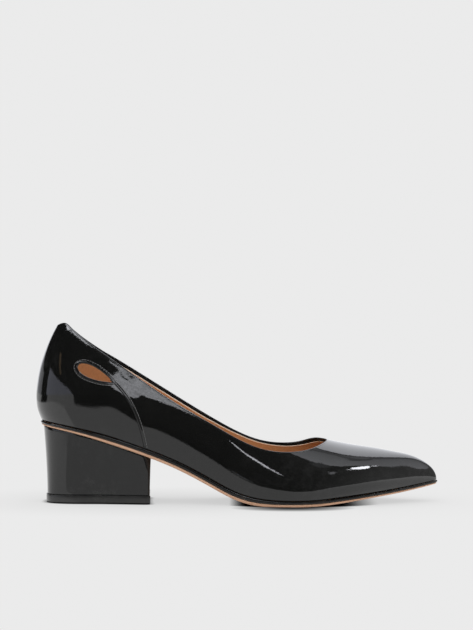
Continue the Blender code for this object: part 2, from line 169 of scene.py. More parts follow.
SECTIONS = (
    SectionRow(0.160, 0.342, 0.329, 0.000, 1.000, 0.100, 0.000, 0.000, 0.30, 0.30),
    SectionRow(0.276, 0.353, 0.307, 0.000, 0.905, 0.088, 0.000, 0.020, 0.44, 0.44),
    SectionRow(0.380, 0.370, 0.264, 0.004, 0.786, 0.070, -0.015, 0.040, 0.56, 0.56),
    SectionRow(0.460, 0.426, 0.286, 0.008, 0.685, 0.056, -0.015, 0.035, 0.56, 0.58),
    SectionRow(0.540, 0.522, 0.354, 0.012, 0.595, 0.050, -0.050, 0.012, 0.52, 0.66),
    SectionRow(0.600, 0.577, 0.403, 0.015, 0.531, 0.052, -0.070, 0.000, 0.48, 0.72),
    SectionRow(0.660, 0.585, 0.419, 0.016, 0.468, 0.056, -0.080, 0.000, 0.46, 0.76),
    SectionRow(0.728, 0.540, 0.388, 0.017, 0.398, 0.090, -0.030, 0.000, 0.46, 0.76),
    SectionRow(0.780, 0.483, 0.346, 0.017, 0.350, 0.098, 0.012, 0.000, 0.46, 0.72),
    SectionRow(0.836, 0.391, 0.280, 0.017, 0.307, 0.092, 0.036, 0.000, 0.48, 0.66),
    SectionRow(0.888, 0.286, 0.208, 0.015, 0.261, 0.060, 0.028, 0.000, 0.52, 0.60),
    SectionRow(0.932, 0.188, 0.138, 0.013, 0.215, 0.036, 0.016, 0.000, 0.56, 0.57),
    SectionRow(0.964, 0.114, 0.093, 0.010, 0.160, 0.016, 0.008, 0.000, 0.58, 0.58),
    SectionRow(0.986, 0.058, 0.052, 0.008, 0.101, 0.006, 0.002, 0.000, 0.58, 0.58),
    SectionRow(1.000, 0.000, 0.000, 0.006, 0.000, 0.000, 0.000, 0.000, 0.58, 0.58),
)

BACK = (
    BackRow(0.000, 0.0300),
    BackRow(0.054, 0.0085),
    BackRow(0.122, 0.0000),
    BackRow(0.200, 0.0055),
    BackRow(0.290, 0.0210),
    BackRow(0.380, 0.0480),
    BackRow(0.470, 0.0850),
    BackRow(0.560, 0.1340),
    BackRow(0.650, 0.1920),
)

TOPLINE = (
    TopRow(0.013, 0.986, 0.986),
    TopRow(0.036, 1.000, 0.986),
    TopRow(0.062, 0.978, 0.960),
    TopRow(0.108, 0.922, 0.902),
    TopRow(0.172, 0.832, 0.822),
    TopRow(0.260, 0.696, 0.702),
    TopRow(0.356, 0.552, 0.568),
    TopRow(0.452, 0.428, 0.438),
    TopRow(0.516, 0.350, 0.363),
    TopRow(0.572, 0.306, 0.321),
    TopRow(0.620, 0.294, 0.311),
    TopRow(0.668, 0.301, 0.326),
    TopRow(0.700, 0.320, 0.347),
)


class CreaseRow(NamedTuple):
    """Soft ridge or trough in the outer wall, in millimetres: line in the side view, half-width, height."""

    line: tuple[Pair, ...]
    width: float
    height: float


CREASES = (
    CreaseRow(((-82, 96), (-76, 77), (-66, 60), (-60, 47)), 11.0, 0.90),
    CreaseRow(((-71, 73.5), (-66, 70), (-61, 67.5)), 2.2, -0.10),
    CreaseRow(((-68, 80), (-62, 75), (-56, 71)), 2.4, -0.09),
    CreaseRow(((-58, 64.5), (-52, 62), (-46, 58)), 2.2, -0.07),
    CreaseRow(((-96, 62), (-86, 60), (-78, 56)), 5.0, -0.06),
    CreaseRow(((-52, 45), (-46, 41), (-42, 36)), 5.0, 0.05),
    CreaseRow(((-24, 36), (-16, 30), (-8, 24)), 6.0, -0.05),
    CreaseRow(((30, 30), (38, 28), (48, 27)), 3.0, -0.05),
    CreaseRow(((60, 25), (74, 23.5), (86, 23)), 2.5, 0.03),
)


class Spline:
    """Cubic through a table's rows with continuous curvature, natural or with a level end."""

    def __init__(self, places: Sequence[float], values: Sequence[float], level_end: bool = False) -> None:
        """Solve the cubic.

        Args:
            places: rising places of the rows.
            values: value at each place.
            level_end: whether the curve ends with no slope.
        """
        self.places = np.asarray(places, dtype=float)
        self.values = np.asarray(values, dtype=float)
        self.bends = self._solve(level_end)

    def _solve(self, level_end: bool) -> np.ndarray:
        """Second derivative at each row."""
        steps = np.diff(self.places)
        slopes = np.diff(self.values) / steps
        count = len(self.places)
        matrix = np.eye(count)
        right = np.zeros(count)
        for row in range(1, count - 1):
            matrix[row, row - 1 : row + 2] = steps[row - 1], 2 * (steps[row - 1] + steps[row]), steps[row]
            right[row] = 6 * (slopes[row] - slopes[row - 1])
        if level_end:
            matrix[-1, -2:] = steps[-1], 2 * steps[-1]
            right[-1] = -6 * slopes[-1]
        return np.linalg.solve(matrix, right)

    def __call__(self, place: np.ndarray) -> np.ndarray:
        """Value at any place."""
        cell = np.clip(np.searchsorted(self.places, place) - 1, 0, len(self.places) - 2)
        step = self.places[cell + 1] - self.places[cell]
        after = (self.places[cell + 1] - place) / step
        before = 1 - after
        bend = (after**3 - after) * self.bends[cell] + (before**3 - before) * self.bends[cell + 1]
        return after * self.values[cell] + before * self.values[cell + 1] + bend * step**2 / 6


def bezier(controls: Sequence, share: np.ndarray) -> np.ndarray:
    """Point of a Bezier curve of any degree.

    Args:
        controls: control values, numbers or arrays.
        share: place on the curve between 0 and 1.

    Returns:
        The curve's value at each share.
    """
    degree = len(controls) - 1
    total = 0.0
    for index, control in enumerate(controls):
        weight = math.comb(degree, index) * share**index * (1 - share) ** (degree - index)
        total = total + weight * control
    return total


def unit(vectors: np.ndarray) -> np.ndarray:
    """Rows of vectors, each made one long."""
    return vectors / np.linalg.norm(vectors, axis=1)[:, None]


def close_ring(points: np.ndarray) -> np.ndarray:
    """Points of a ring, with the first one again at the end."""
    return np.concatenate((points, points[:1]))


def raise_plan(plan: np.ndarray, height: np.ndarray) -> np.ndarray:
    """Points in plan, put at their heights."""
    return np.concatenate((plan, height[:, None]), axis=1)


def in_metres(rows: Sequence[Pair]) -> list[Pair]:
    """Rows of pairs given in millimetres."""
    return [(first * MM, second * MM) for first, second in rows]


def bow(share: np.ndarray) -> np.ndarray:
    """Parabola with no height at both ends of a span and a height of one in its middle."""
    return 4 * share * (1 - share)


def offset_outline(points: np.ndarray, distance: float) -> np.ndarray:
    """Closed flat outline moved outwards by a distance."""
    along = np.roll(points, -1, axis=0) - np.roll(points, 1, axis=0)
    normals = unit(np.stack((along[:, 1], -along[:, 0]), axis=1))
    area = np.sum(points[:, 0] * np.roll(points[:, 1], -1) - points[:, 1] * np.roll(points[:, 0], -1))
    return points + normals * distance * np.sign(area)


@dataclass(frozen=True)
class Columns:
    """Lines up the wall, from the toe round the outer side and the heel back to the toe.

    Attributes:
        side: sign of the side of each column.
        x: place of each column on the straight part, or the heel axis.
        turn: turn of each column around the heel, 0 on the straight part.
    """

    side: np.ndarray
    x: np.ndarray
    turn: np.ndarray

    @property
    def half(self) -> int:
        """Index of the column in the middle of the heel's back."""
        return len(self.x) // 2


@dataclass(frozen=True)
class Last:
    """The last that the shoe is drawn over, in its driving sizes.

    The densities are columns of the wall's grid for each spacing, on the vamp and round the heel.
    """

    length: float = 250 * MM
    ball_width: float = 76.5 * MM
    heel_rise: float = 47 * MM
    instep_rise: float = 84 * MM
    back_top: float = 111 * MM
    throat_along: float = 0.727
    centre_shift: float = 5.2 * MM
    heel_axis: float = -85 * MM
    heel_squareness: float = 2.25
    ball_feather: float = 3.65 * MM
    swell_height: float = 0.30
    shoulder_height: float = 0.75
    gap: float = 0.3 * MM
    vamp_density: float = 2.0
    heel_density: float = 1.35
    throat_steps: int = 12
    halvings: int = 50

    def station(self, along: float) -> float:
        """x of a place along the shoe."""
        return (along - 0.5) * self.length

    @property
    def tip(self) -> float:
        """x of the toe tip."""
        return self.station(1.0)

    @property
    def throat(self) -> float:
        """x of the front of the collar opening."""
        return self.station(self.throat_along)

    @property
    def heel_depth(self) -> float:
        """Heel axis to the back of the counter."""
        return self.length / 2 + self.heel_axis

    def toeward(self, x: np.ndarray) -> np.ndarray:
        """Root of the distance to the toe tip, in which the rounded toe is a straight run."""
        return np.sqrt(np.maximum(self.tip - x, 0.0))

    @cached_property
    def bottom(self) -> dict[str, Spline]:
        """Columns of the bottom table as functions of x."""
        units = {"rise": self.heel_rise, "rand": MM, "sole": MM}
        places = [self.station(row.along) for row in BOTTOM]
        return {
            name: Spline(places, [getattr(row, name) * unit for row in BOTTOM])
            for name, unit in units.items()
        }

    @cached_property
    def section(self) -> dict[str, Spline]:
        """Columns of the section table as functions of toeward(x)."""
        rows = SECTIONS[::-1]
        places = [float(self.toeward(self.station(row.along))) for row in rows]
        widths = ("lateral", "medial", "ridge", "swell", "shoulder", "arch")
        units = dict.fromkeys(widths, self.ball_width)
        units |= {"crest": self.instep_rise, "lateral_crown": 1.0, "medial_crown": 1.0}
        return {
            name: Spline(places, [getattr(row, name) * unit for row in rows], level_end=True)
            for name, unit in units.items()
        }

    @cached_property
    def setback(self) -> Spline:
        """Setback of the counter's back as a function of height over the feather line."""
        heights = [row.height * self.back_top for row in BACK]
        return Spline(heights, [row.setback * self.back_top for row in BACK])

    def feather(self, x: np.ndarray) -> np.ndarray:
        """Height of the line where upper and rand meet."""
        return self.ball_feather + self.bottom["rise"](x)

    def rand_bottom(self, x: np.ndarray) -> np.ndarray:
        """Height of the rand's underside."""
        return self.feather(x) - self.bottom["rand"](x)

    def sole_bottom(self, x: np.ndarray) -> np.ndarray:
        """Height of the outsole's underside, flat on the floor at the ball."""
        return np.maximum(self.rand_bottom(x) - self.bottom["sole"](x), 0.0)

    def topline(self, side: Side, drop: float) -> Spline:
        """Height of the topline on one side as a function of x on the feather line.

        Args:
            side: side of the foot.
            drop: how far the line runs inside the real one.

        Returns:
            The height as a spline that ends on the ridge.
        """
        throat = self.throat + drop
        places = [self.station(row.along) for row in TOPLINE] + [throat]
        heights = [getattr(row, side.name.lower()) * self.back_top - drop for row in TOPLINE]
        ridge = self.feather(throat) + self.section["crest"](self.toeward(throat))
        return Spline(places, [*heights, float(ridge)])

    def columns(self, spacing: float, drop: float = 0.0) -> Columns:
        """Columns once round the shoe, closer together at the toe tip and the throat.

        Args:
            spacing: distance between columns on the quarters.
            drop: how far the topline that they reach runs inside the real one.

        Returns:
            The columns in order, with the toe tip first and last.
        """
        throat = self.throat + drop
        count = math.ceil(self.vamp_density * (self.tip - throat) / spacing)
        vamp = self.tip - (self.toeward(throat) * np.linspace(0, 1, count + 1)) ** 2
        steps = np.arange(1, self.throat_steps + 1)
        near = throat - spacing / (2 * self.throat_steps) * steps**2
        count = math.ceil((near[-1] - self.heel_axis) / spacing)
        quarter = np.linspace(near[-1], self.heel_axis, count + 1)[1:]
        count = math.ceil(self.heel_density * self.heel_depth / spacing)
        turns = np.linspace(0, math.pi / 2, count + 1)[1:]
        x = np.concatenate((vamp, near, quarter, np.full(count, self.heel_axis)))
        turn = np.concatenate((np.zeros(len(x) - count), turns))
        side = np.concatenate((np.full(len(x), Side.LATERAL), np.full(len(x) - 1, Side.MEDIAL)))
        return Columns(side, np.concatenate((x, x[-2::-1])), np.concatenate((turn, turn[-2::-1])))

    def _by_side(self, columns: Columns, lateral: str, medial: str) -> np.ndarray:
        """Column of the section table for each side's own columns."""
        place = self.toeward(columns.x)
        outer = columns.side == Side.LATERAL
        return np.where(outer, self.section[lateral](place), self.section[medial](place))

    def _plan(
        self, columns: Columns, across: np.ndarray, depth: np.ndarray
    ) -> tuple[np.ndarray, np.ndarray]:
        """Plan position at a half-width, and at a depth behind the heel axis on the rounded back."""
        x = columns.x - depth * np.sin(columns.turn) ** (2 / self.heel_squareness)
        ridge = self.section["ridge"](self.toeward(columns.x))
        return x, ridge + columns.side * across * np.cos(columns.turn) + self.centre_shift

    def base(self, columns: Columns) -> tuple[np.ndarray, np.ndarray]:
        """Plan position on the feather line."""
        width = self._by_side(columns, "lateral", "medial")
        return self._plan(columns, width, self.heel_depth - self.setback(np.zeros(1)))

    def rise(self, columns: Columns, share: np.ndarray) -> np.ndarray:
        """Height over the feather line at a share of the way to the ridge."""
        crest = self.section["crest"](self.toeward(columns.x))
        return bezier((0.0, self.swell_height * crest, self.shoulder_height * crest, crest, crest), share)

    def wall(self, columns: Columns, share: np.ndarray) -> np.ndarray:
        """Points of the wall.

        Args:
            columns: lines up the wall.
            share: place on each line, one row of the array for each row of points.

        Returns:
            Points, indexed by row, column and axis.
        """
        place = self.toeward(columns.x)
        width = self._by_side(columns, "lateral", "medial")
        arch = np.where(columns.side == Side.MEDIAL, self.section["arch"](place), 0.0)
        swell = width + self.section["swell"](place) + arch
        shoulder = width + self.section["shoulder"](place) + arch
        crown = width * self._by_side(columns, "lateral_crown", "medial_crown")
        across = bezier((width, swell, shoulder, crown, 0.0), share)
        height = self.rise(columns, share)
        x, y = self._plan(columns, across, self.heel_depth - self.setback(height))
        z = self.feather(self.base(columns)[0]) + height + self.gap / 2
        return np.stack((x, y, z), axis=-1)

    def top_share(self, columns: Columns, drop: float = 0.0) -> np.ndarray:
        """Share at which each column ends, on the topline or at the ridge.

        Args:
            columns: lines up the wall.
            drop: how far the topline runs inside the real one.

        Returns:
            One share for each column.
        """
        x = self.base(columns)[0]
        heights = np.where(
            columns.side == Side.LATERAL,
            self.topline(Side.LATERAL, drop)(x),
            self.topline(Side.MEDIAL, drop)(x),
        )
        low, high = np.zeros(len(x)), np.ones(len(x))
        for _ in range(self.halvings):
            middle = (low + high) / 2
            below = self.rise(columns, middle) < heights - self.feather(x)
            low = np.where(below, middle, low)
            high = np.where(below, high, middle)
        return np.where(x >= self.throat + drop, 1.0, low)

    def outline(self, columns: Columns, distance: float) -> np.ndarray:
        """Feather line in plan, moved outwards by a distance, with the toe tip first and last."""
        points = np.stack(self.base(columns), axis=-1)
        return close_ring(offset_outline(points[:-1], distance))


def choose(piece: Object) -> None:
    """Make a piece the only selected one, and the active one."""
    bpy.ops.object.select_all(action="DESELECT")
    piece.select_set(True)
    bpy.context.view_layer.objects.active = piece


def apply_modifier(piece: Object, modifier: Modifier) -> None:
    """Apply a piece's modifier to its mesh."""
    choose(piece)
    bpy.ops.object.modifier_apply(modifier=modifier.name)


@contextmanager
def edit_mesh() -> Iterator[None]:
    """Work on the active piece's whole mesh in edit mode."""
    bpy.ops.object.mode_set(mode="EDIT")
    bpy.ops.mesh.select_all(action="SELECT")
    yield
    bpy.ops.object.mode_set(mode="OBJECT")


def lay_grid(name: str, points: np.ndarray, closed: bool = False) -> Object:
    """Grid primitive with its vertices moved onto rows of points, welded where they coincide.

    Args:
        name: name of the piece.
        points: points, indexed by row, column and axis.
        closed: whether open ends are filled and the faces turned outwards.

    Returns:
        The piece, smoothly shaded.
    """
    rows, columns = points.shape[:2]
    bpy.ops.object.select_all(action="DESELECT")
    bpy.ops.mesh.primitive_grid_add(x_subdivisions=columns - 1, y_subdivisions=rows - 1, size=1.0)
    piece = bpy.context.active_object
    piece.name = name
    piece.data.name = name
    piece.data.vertices.foreach_set("co", np.ascontiguousarray(points, dtype=np.float32).ravel())
    with edit_mesh():
        bpy.ops.mesh.remove_doubles(threshold=WELD)
        bpy.ops.mesh.dissolve_degenerate(threshold=WELD)
        bpy.ops.mesh.select_all(action="SELECT")
        if closed:
            bpy.ops.mesh.fill_holes(sides=0)
            bpy.ops.mesh.normals_make_consistent(inside=False)
        else:
            bpy.ops.mesh.flip_normals()
    bpy.ops.object.transform_apply(location=True, rotation=True, scale=True)
    bpy.ops.object.shade_smooth()
    return piece


def thicken(piece: Object, thickness: float) -> None:
    """Give an open sheet with its faces outwards a wall on its inner side."""
    wall = piece.modifiers.new("wall", "SOLIDIFY")
    wall.thickness = thickness
    wall.offset = -1.0
    wall.use_even_offset = True
    apply_modifier(piece, wall)


def soften(piece: Object, width: float, angle: float) -> None:
    """Round a piece's edges that are sharper than an angle in radians."""
    bevel = piece.modifiers.new("soft_edges", "BEVEL")
    bevel.width = width
    bevel.segments = ROUNDING_STEPS
    bevel.limit_method = "ANGLE"
    bevel.angle_limit = angle
    bevel.harden_normals = False
    apply_modifier(piece, bevel)


def enter(piece: Object, looks: Sequence[Material], slot: Slot, node: str | None = None) -> None:
    """Dress a finished piece and put it on the shoe's body.

    Args:
        piece: finished piece.
        looks: materials in the order of the piece's slots.
        slot: slot of the record that the finish comes from.
        node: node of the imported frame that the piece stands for.
    """
    while len(piece.data.materials) < len(looks):
        piece.data.materials.append(None)
    for index, look in enumerate(looks):
        piece.data.materials[index] = look
    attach(piece, BODY)
    if node:
        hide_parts(node)
    log.info("%s: %d faces, finish %s", piece.name, len(piece.data.polygons), slot.value)


class Tree:
    """A node tree with a short way to add and link nodes."""

    def __init__(self, tree: NodeTree) -> None:
        """Hold a node tree."""
        self.tree = tree

    def feed(self, node: Node, inputs: dict[str | int, Feed]) -> None:
        """Give a node's inputs their values, or the outputs that feed them."""
        for name, value in inputs.items():
            if isinstance(value, NodeSocket):
                self.tree.links.new(value, node.inputs[name])
            else:
                node.inputs[name].default_value = value

    def add(self, kind: str, inputs: dict[str | int, Feed] | None = None, **settings: object) -> Node:
        """Add a node.

        Args:
            kind: Blender's name of the kind of node.
            inputs: for each input, a value or the output that feeds it.
            settings: properties of the node.

        Returns:
            The node.
        """
        node = self.tree.nodes.new(kind)
        for name, value in settings.items():
            setattr(node, name, value)
        self.feed(node, inputs or {})
        return node

    def place(self) -> NodeSocket:
        """Place on the piece, in its own metres."""
        return self.add("ShaderNodeTexCoord").outputs["Object"]

    def axes(self, place: NodeSocket) -> Sockets:
        """Outputs X, Y and Z of a place."""
        return self.add("ShaderNodeSeparateXYZ", {"Vector": place}).outputs

    def math(self, operation: str, *values: Feed, **settings: object) -> NodeSocket:
        """Result of a sum on numbers and outputs."""
        inputs = dict(enumerate(values))
        return self.add("ShaderNodeMath", inputs, operation=operation, **settings).outputs[0]

    def ramp(
        self, value: Feed, ends: Pair = (0.0, 1.0), to: Pair = (0.0, 1.0), smooth: bool = False
    ) -> NodeSocket:
        """Ramp from one value to another.

        Args:
            value: number or output that the ramp is read at.
            ends: where the ramp starts and ends.
            to: values at its start and end.
            smooth: whether it starts and ends with no slope.

        Returns:
            The value on the ramp.
        """
        inputs = {"Value": value, "From Min": ends[0], "From Max": ends[1], "To Min": to[0], "To Max": to[1]}
        kind = "SMOOTHSTEP" if smooth else "LINEAR"
        return self.add("ShaderNodeMapRange", inputs, interpolation_type=kind).outputs["Result"]

    def blend(self, share: Feed, first: Feed, second: Feed) -> NodeSocket:
        """Mix of two colours."""
        inputs = dict(zip(MIX_INPUTS, (share, first, second)))
        return self.add("ShaderNodeMix", inputs, data_type="RGBA").outputs[MIX_RESULT]


Group = tuple[Tree, Sockets, Node]


class Effects:
    """Shader effects that several finishes share, each a node group made once."""

    def _new(self, name: str, inputs: dict[str, float], outputs: Sequence[str]) -> Group:
        """Empty node group with number sockets.

        Args:
            name: name of the group.
            inputs: first value of each input.
            outputs: names of the outputs.

        Returns:
            The group's tree, its input sockets by name and its output node.
        """
        group = bpy.data.node_groups.new(name, "ShaderNodeTree")
        for label, value in inputs.items():
            socket = group.interface.new_socket(name=label, in_out="INPUT", socket_type="NodeSocketFloat")
            socket.default_value = value
        for label in outputs:
            group.interface.new_socket(name=label, in_out="OUTPUT", socket_type="NodeSocketFloat")
        tree = Tree(group)
        source = tree.add("NodeGroupInput")
        sink = tree.add("NodeGroupOutput")
        return tree, source.outputs, sink

    def _noise(self, tree: Tree, scale: Feed, detail: float, roughness: float = 0.5) -> NodeSocket:
        """Noise in the piece's own metres."""
        inputs = {"Vector": tree.place(), "Scale": scale, "Detail": detail, "Roughness": roughness}
        return tree.add("ShaderNodeTexNoise", inputs).outputs["Fac"]

    @cached_property
    def film(self) -> NodeTree:
        """Lacquer film: slow waves and fine orange peel as a height, and handling smudges."""
        tree, inputs, sink = self._new(
            "lacquer_film",
            {"Peel Scale": 900.0, "Wave Scale": 70.0, "Peel Share": 0.12, "Smudge Scale": 35.0},
            ("Height", "Smudge", "Tone"),
        )
        wave = self._noise(tree, inputs["Wave Scale"], detail=1.0)
        peel = self._noise(tree, inputs["Peel Scale"], detail=2.0)
        height = tree.math("MULTIPLY_ADD", peel, inputs["Peel Share"], wave)
        smudge = self._noise(tree, inputs["Smudge Scale"], detail=5.0, roughness=0.65)
        patches = tree.ramp(smudge, ends=(0.48, 0.72), smooth=True)
        tree.feed(sink, {"Height": height, "Smudge": patches, "Tone": smudge})
        return tree.tree

    @cached_property
    def grain(self) -> NodeTree:
        """Leather grain: pebbles between creases as a height, and slow changes of tone."""
        tree, inputs, sink = self._new(
            "leather_grain",
            {"Grain Scale": 1500.0, "Tone Scale": 60.0, "Fibre Share": 0.35},
            ("Height", "Tone"),
        )
        cells = tree.add(
            "ShaderNodeTexVoronoi",
            {"Vector": tree.place(), "Scale": inputs["Grain Scale"], "Randomness": 1.0},
            feature="SMOOTH_F1",
        )
        fibre = self._noise(tree, inputs["Grain Scale"], detail=3.0, roughness=0.6)
        height = tree.math("MULTIPLY_ADD", fibre, inputs["Fibre Share"], cells.outputs["Distance"])
        tone = self._noise(tree, inputs["Tone Scale"], detail=4.0, roughness=0.6)
        tree.feed(sink, {"Height": height, "Tone": tone})
        return tree.tree

    @cached_property
    def wear(self) -> NodeTree:
        """Light scuffs and dust: a mask that is mostly clear."""
        tree, inputs, sink = self._new(
            "scuff_and_dust",
            {"Scuff Scale": 240.0, "Patch Scale": 28.0, "Amount": 0.5},
            ("Mask",),
        )
        scuff = self._noise(tree, inputs["Scuff Scale"], detail=6.0, roughness=0.7)
        patch = self._noise(tree, inputs["Patch Scale"], detail=2.0)
        marks = tree.ramp(tree.math("MULTIPLY", scuff, patch), ends=(0.27, 0.45), smooth=True)
        tree.feed(sink, {"Mask": tree.math("MULTIPLY", marks, inputs["Amount"])})
        return tree.tree


@dataclass(frozen=True)
class Finish(ABC):
    """A finish in two tones, with a shared effect for its relief and one for its wear."""

    name: str
    colour: Colour
    second: Colour
    roughness: Pair
    relief: float
    relief_distance: float
    worn: Colour
    wear: float
    coat: float = 0.0
    coat_roughness: float = 0.03
    specular: float = 0.5

    @abstractmethod
    def _relief(self, tree: Tree, effects: Effects) -> Node:
        """Effect that gives Height and Tone."""

    def make(self, effects: Effects) -> Material:
        """Build the material.

        Args:
            effects: shared node groups.

        Returns:
            The material.
        """
        made = bpy.data.materials.new(self.name)
        made.use_nodes = True
        tree = Tree(made.node_tree)
        effect = self._relief(tree, effects).outputs
        wear = tree.add("ShaderNodeGroup", {"Amount": self.wear}, node_tree=effects.wear)
        tone = tree.blend(effect["Tone"], (*self.colour, 1.0), (*self.second, 1.0))
        gloss = effect["Smudge"] if "Smudge" in effect else effect["Tone"]
        bump = tree.add(
            "ShaderNodeBump",
            {"Height": effect["Height"], "Strength": self.relief, "Distance": self.relief_distance},
        )
        inputs = {
            "Base Color": tree.blend(wear.outputs["Mask"], tone, (*self.worn, 1.0)),
            "Metallic": 0.0,
            "Roughness": tree.ramp(gloss, to=self.roughness),
            "Specular IOR Level": self.specular,
            "Coat Weight": self.coat,
            "Coat Roughness": self.coat_roughness,
            "Normal": bump.outputs["Normal"],
        }
        tree.feed(made.node_tree.nodes["Principled BSDF"], inputs)
        return made


@dataclass(frozen=True)
class PatentFinish(Finish):
    """Lacquered leather."""

    peel_share: float = 0.12

    def _relief(self, tree: Tree, effects: Effects) -> Node:
        """Lacquer film."""
        return tree.add("ShaderNodeGroup", {"Peel Share": self.peel_share}, node_tree=effects.film)


@dataclass(frozen=True)
class LeatherFinish(Finish):
    """Plain leather with a visible grain."""

    grain_scale: float = 1500.0
    tone_scale: float = 60.0

    def _relief(self, tree: Tree, effects: Effects) -> Node:
        """Leather grain."""
        values = {"Grain Scale": self.grain_scale, "Tone Scale": self.tone_scale}
        return tree.add("ShaderNodeGroup", values, node_tree=effects.grain)


BLACK_PATENT = PatentFinish(
    "black_patent",
    colour=(0.0045, 0.0047, 0.0045),
    second=(0.0085, 0.0086, 0.0082),
    roughness=(0.025, 0.06),
    relief=0.2,
    relief_distance=0.25 * MM,
    coat=0.3,
    peel_share=0.4,
    worn=(0.05, 0.05, 0.05),
    wear=0.15,
)
HEEL_PATENT = PatentFinish(
    "heel_patent",
    colour=(0.0055, 0.0058, 0.0056),
    second=(0.0095, 0.0097, 0.0095),
    roughness=(0.05, 0.11),
    relief=0.1,
    relief_distance=0.2 * MM,
    specular=0.45,
    coat=0.1,
    worn=(0.06, 0.06, 0.06),
    wear=0.2,
)
# Painted shade: a dull dark brown that stands in for the shaded sole and floor that the heel's breast
# reflects.
HEEL_BREAST_SHADE = LeatherFinish(
    "heel_breast_painted_shade",
    colour=(0.012, 0.009, 0.007),
    second=(0.022, 0.016, 0.012),
    roughness=(0.5, 0.65),
    relief=0.2,
    relief_distance=0.1 * MM,
    specular=0.2,
    worn=(0.05, 0.04, 0.03),
    wear=0.2,
)
RAND_PATENT = PatentFinish(
    "rand_patent",
    colour=(0.006, 0.006, 0.006),
    second=(0.012, 0.0115, 0.011),
    roughness=(0.06, 0.1),
    relief=0.03,
    relief_distance=0.15 * MM,
    specular=0.32,
    worn=(0.07, 0.06, 0.05),
    wear=0.3,
)
LINING_LEATHER = LeatherFinish(
    "lining_leather",
    colour=(0.41, 0.195, 0.085),
    second=(0.72, 0.395, 0.195),
    roughness=(0.4, 0.58),
    relief=0.25,
    relief_distance=0.12 * MM,
    specular=0.25,
    worn=(0.55, 0.30, 0.17),
    wear=0.25,
    tone_scale=1100.0,
)
LINING_EDGE = LeatherFinish(
    "lining_cut_edge",
    colour=(0.93, 0.75, 0.58),
    second=(0.97, 0.83, 0.69),
    roughness=(0.6, 0.75),
    relief=0.3,
    relief_distance=0.1 * MM,
    worn=(0.6, 0.4, 0.26),
    wear=0.2,
    grain_scale=2600.0,
)
SOLE_LEATHER = LeatherFinish(
    "sole_leather",
    colour=(0.56, 0.315, 0.19),
    second=(0.66, 0.40, 0.26),
    roughness=(0.42, 0.6),
    relief=0.22,
    relief_distance=0.12 * MM,
    worn=(0.40, 0.22, 0.13),
    wear=0.35,
    grain_scale=1100.0,
    tone_scale=45.0,
)
TOP_PIECE_RUBBER = LeatherFinish(
    "top_piece_rubber",
    colour=(0.012, 0.012, 0.012),
    second=(0.022, 0.022, 0.021),
    roughness=(0.24, 0.36),
    relief=0.2,
    relief_distance=0.1 * MM,
    worn=(0.08, 0.08, 0.075),
    wear=0.3,
    grain_scale=2200.0,
)
# Painted shade: a near-black copy of the rubber for the top piece's lowest band, standing in for the contact
# shadow at the floor.
TOP_PIECE_SHADE = LeatherFinish(
    "top_piece_painted_shade",
    colour=(0.003, 0.003, 0.003),
    second=(0.006, 0.006, 0.006),
    roughness=(0.7, 0.85),
    relief=0.3,
    relief_distance=0.1 * MM,
    specular=0.05,
    worn=(0.02, 0.02, 0.02),
    wear=0.2,
)
FACING_BLACK = PatentFinish(
    "facing_black",
    colour=(0.004, 0.004, 0.004),
    second=(0.008, 0.008, 0.008),
    roughness=(0.3, 0.42),
    relief=0.1,
    relief_distance=0.15 * MM,
    specular=0.12,
    worn=(0.03, 0.03, 0.03),
    wear=0.15,
)
# Black thread, its colour lightened to grey as a painted sheen for the stitches' glints.
BLACK_THREAD_SHEEN = LeatherFinish(
    "black_thread_painted_sheen",
    colour=(0.09, 0.09, 0.09),
    second=(0.2, 0.2, 0.2),
    roughness=(0.2, 0.3),
    relief=0.4,
    relief_distance=0.1 * MM,
    worn=(0.06, 0.06, 0.06),
    wear=0.2,
    grain_scale=3200.0,
)


def tangents(points: np.ndarray, closed: bool) -> np.ndarray:
    """Unit tangents of a curve at its points."""
    if closed:
        along = np.roll(points, -1, axis=0) - np.roll(points, 1, axis=0)
    else:
        along = np.gradient(points, axis=0)
    return unit(along)


@dataclass(frozen=True)
class LaidPath:
    """Curve on the wall, with a frame at each of its points.

    Attributes:
        points: points of the curve.
        out: wall normals.
        aside: unit vectors across the curve in the wall.
    """

    points: np.ndarray
    out: np.ndarray
    aside: np.ndarray


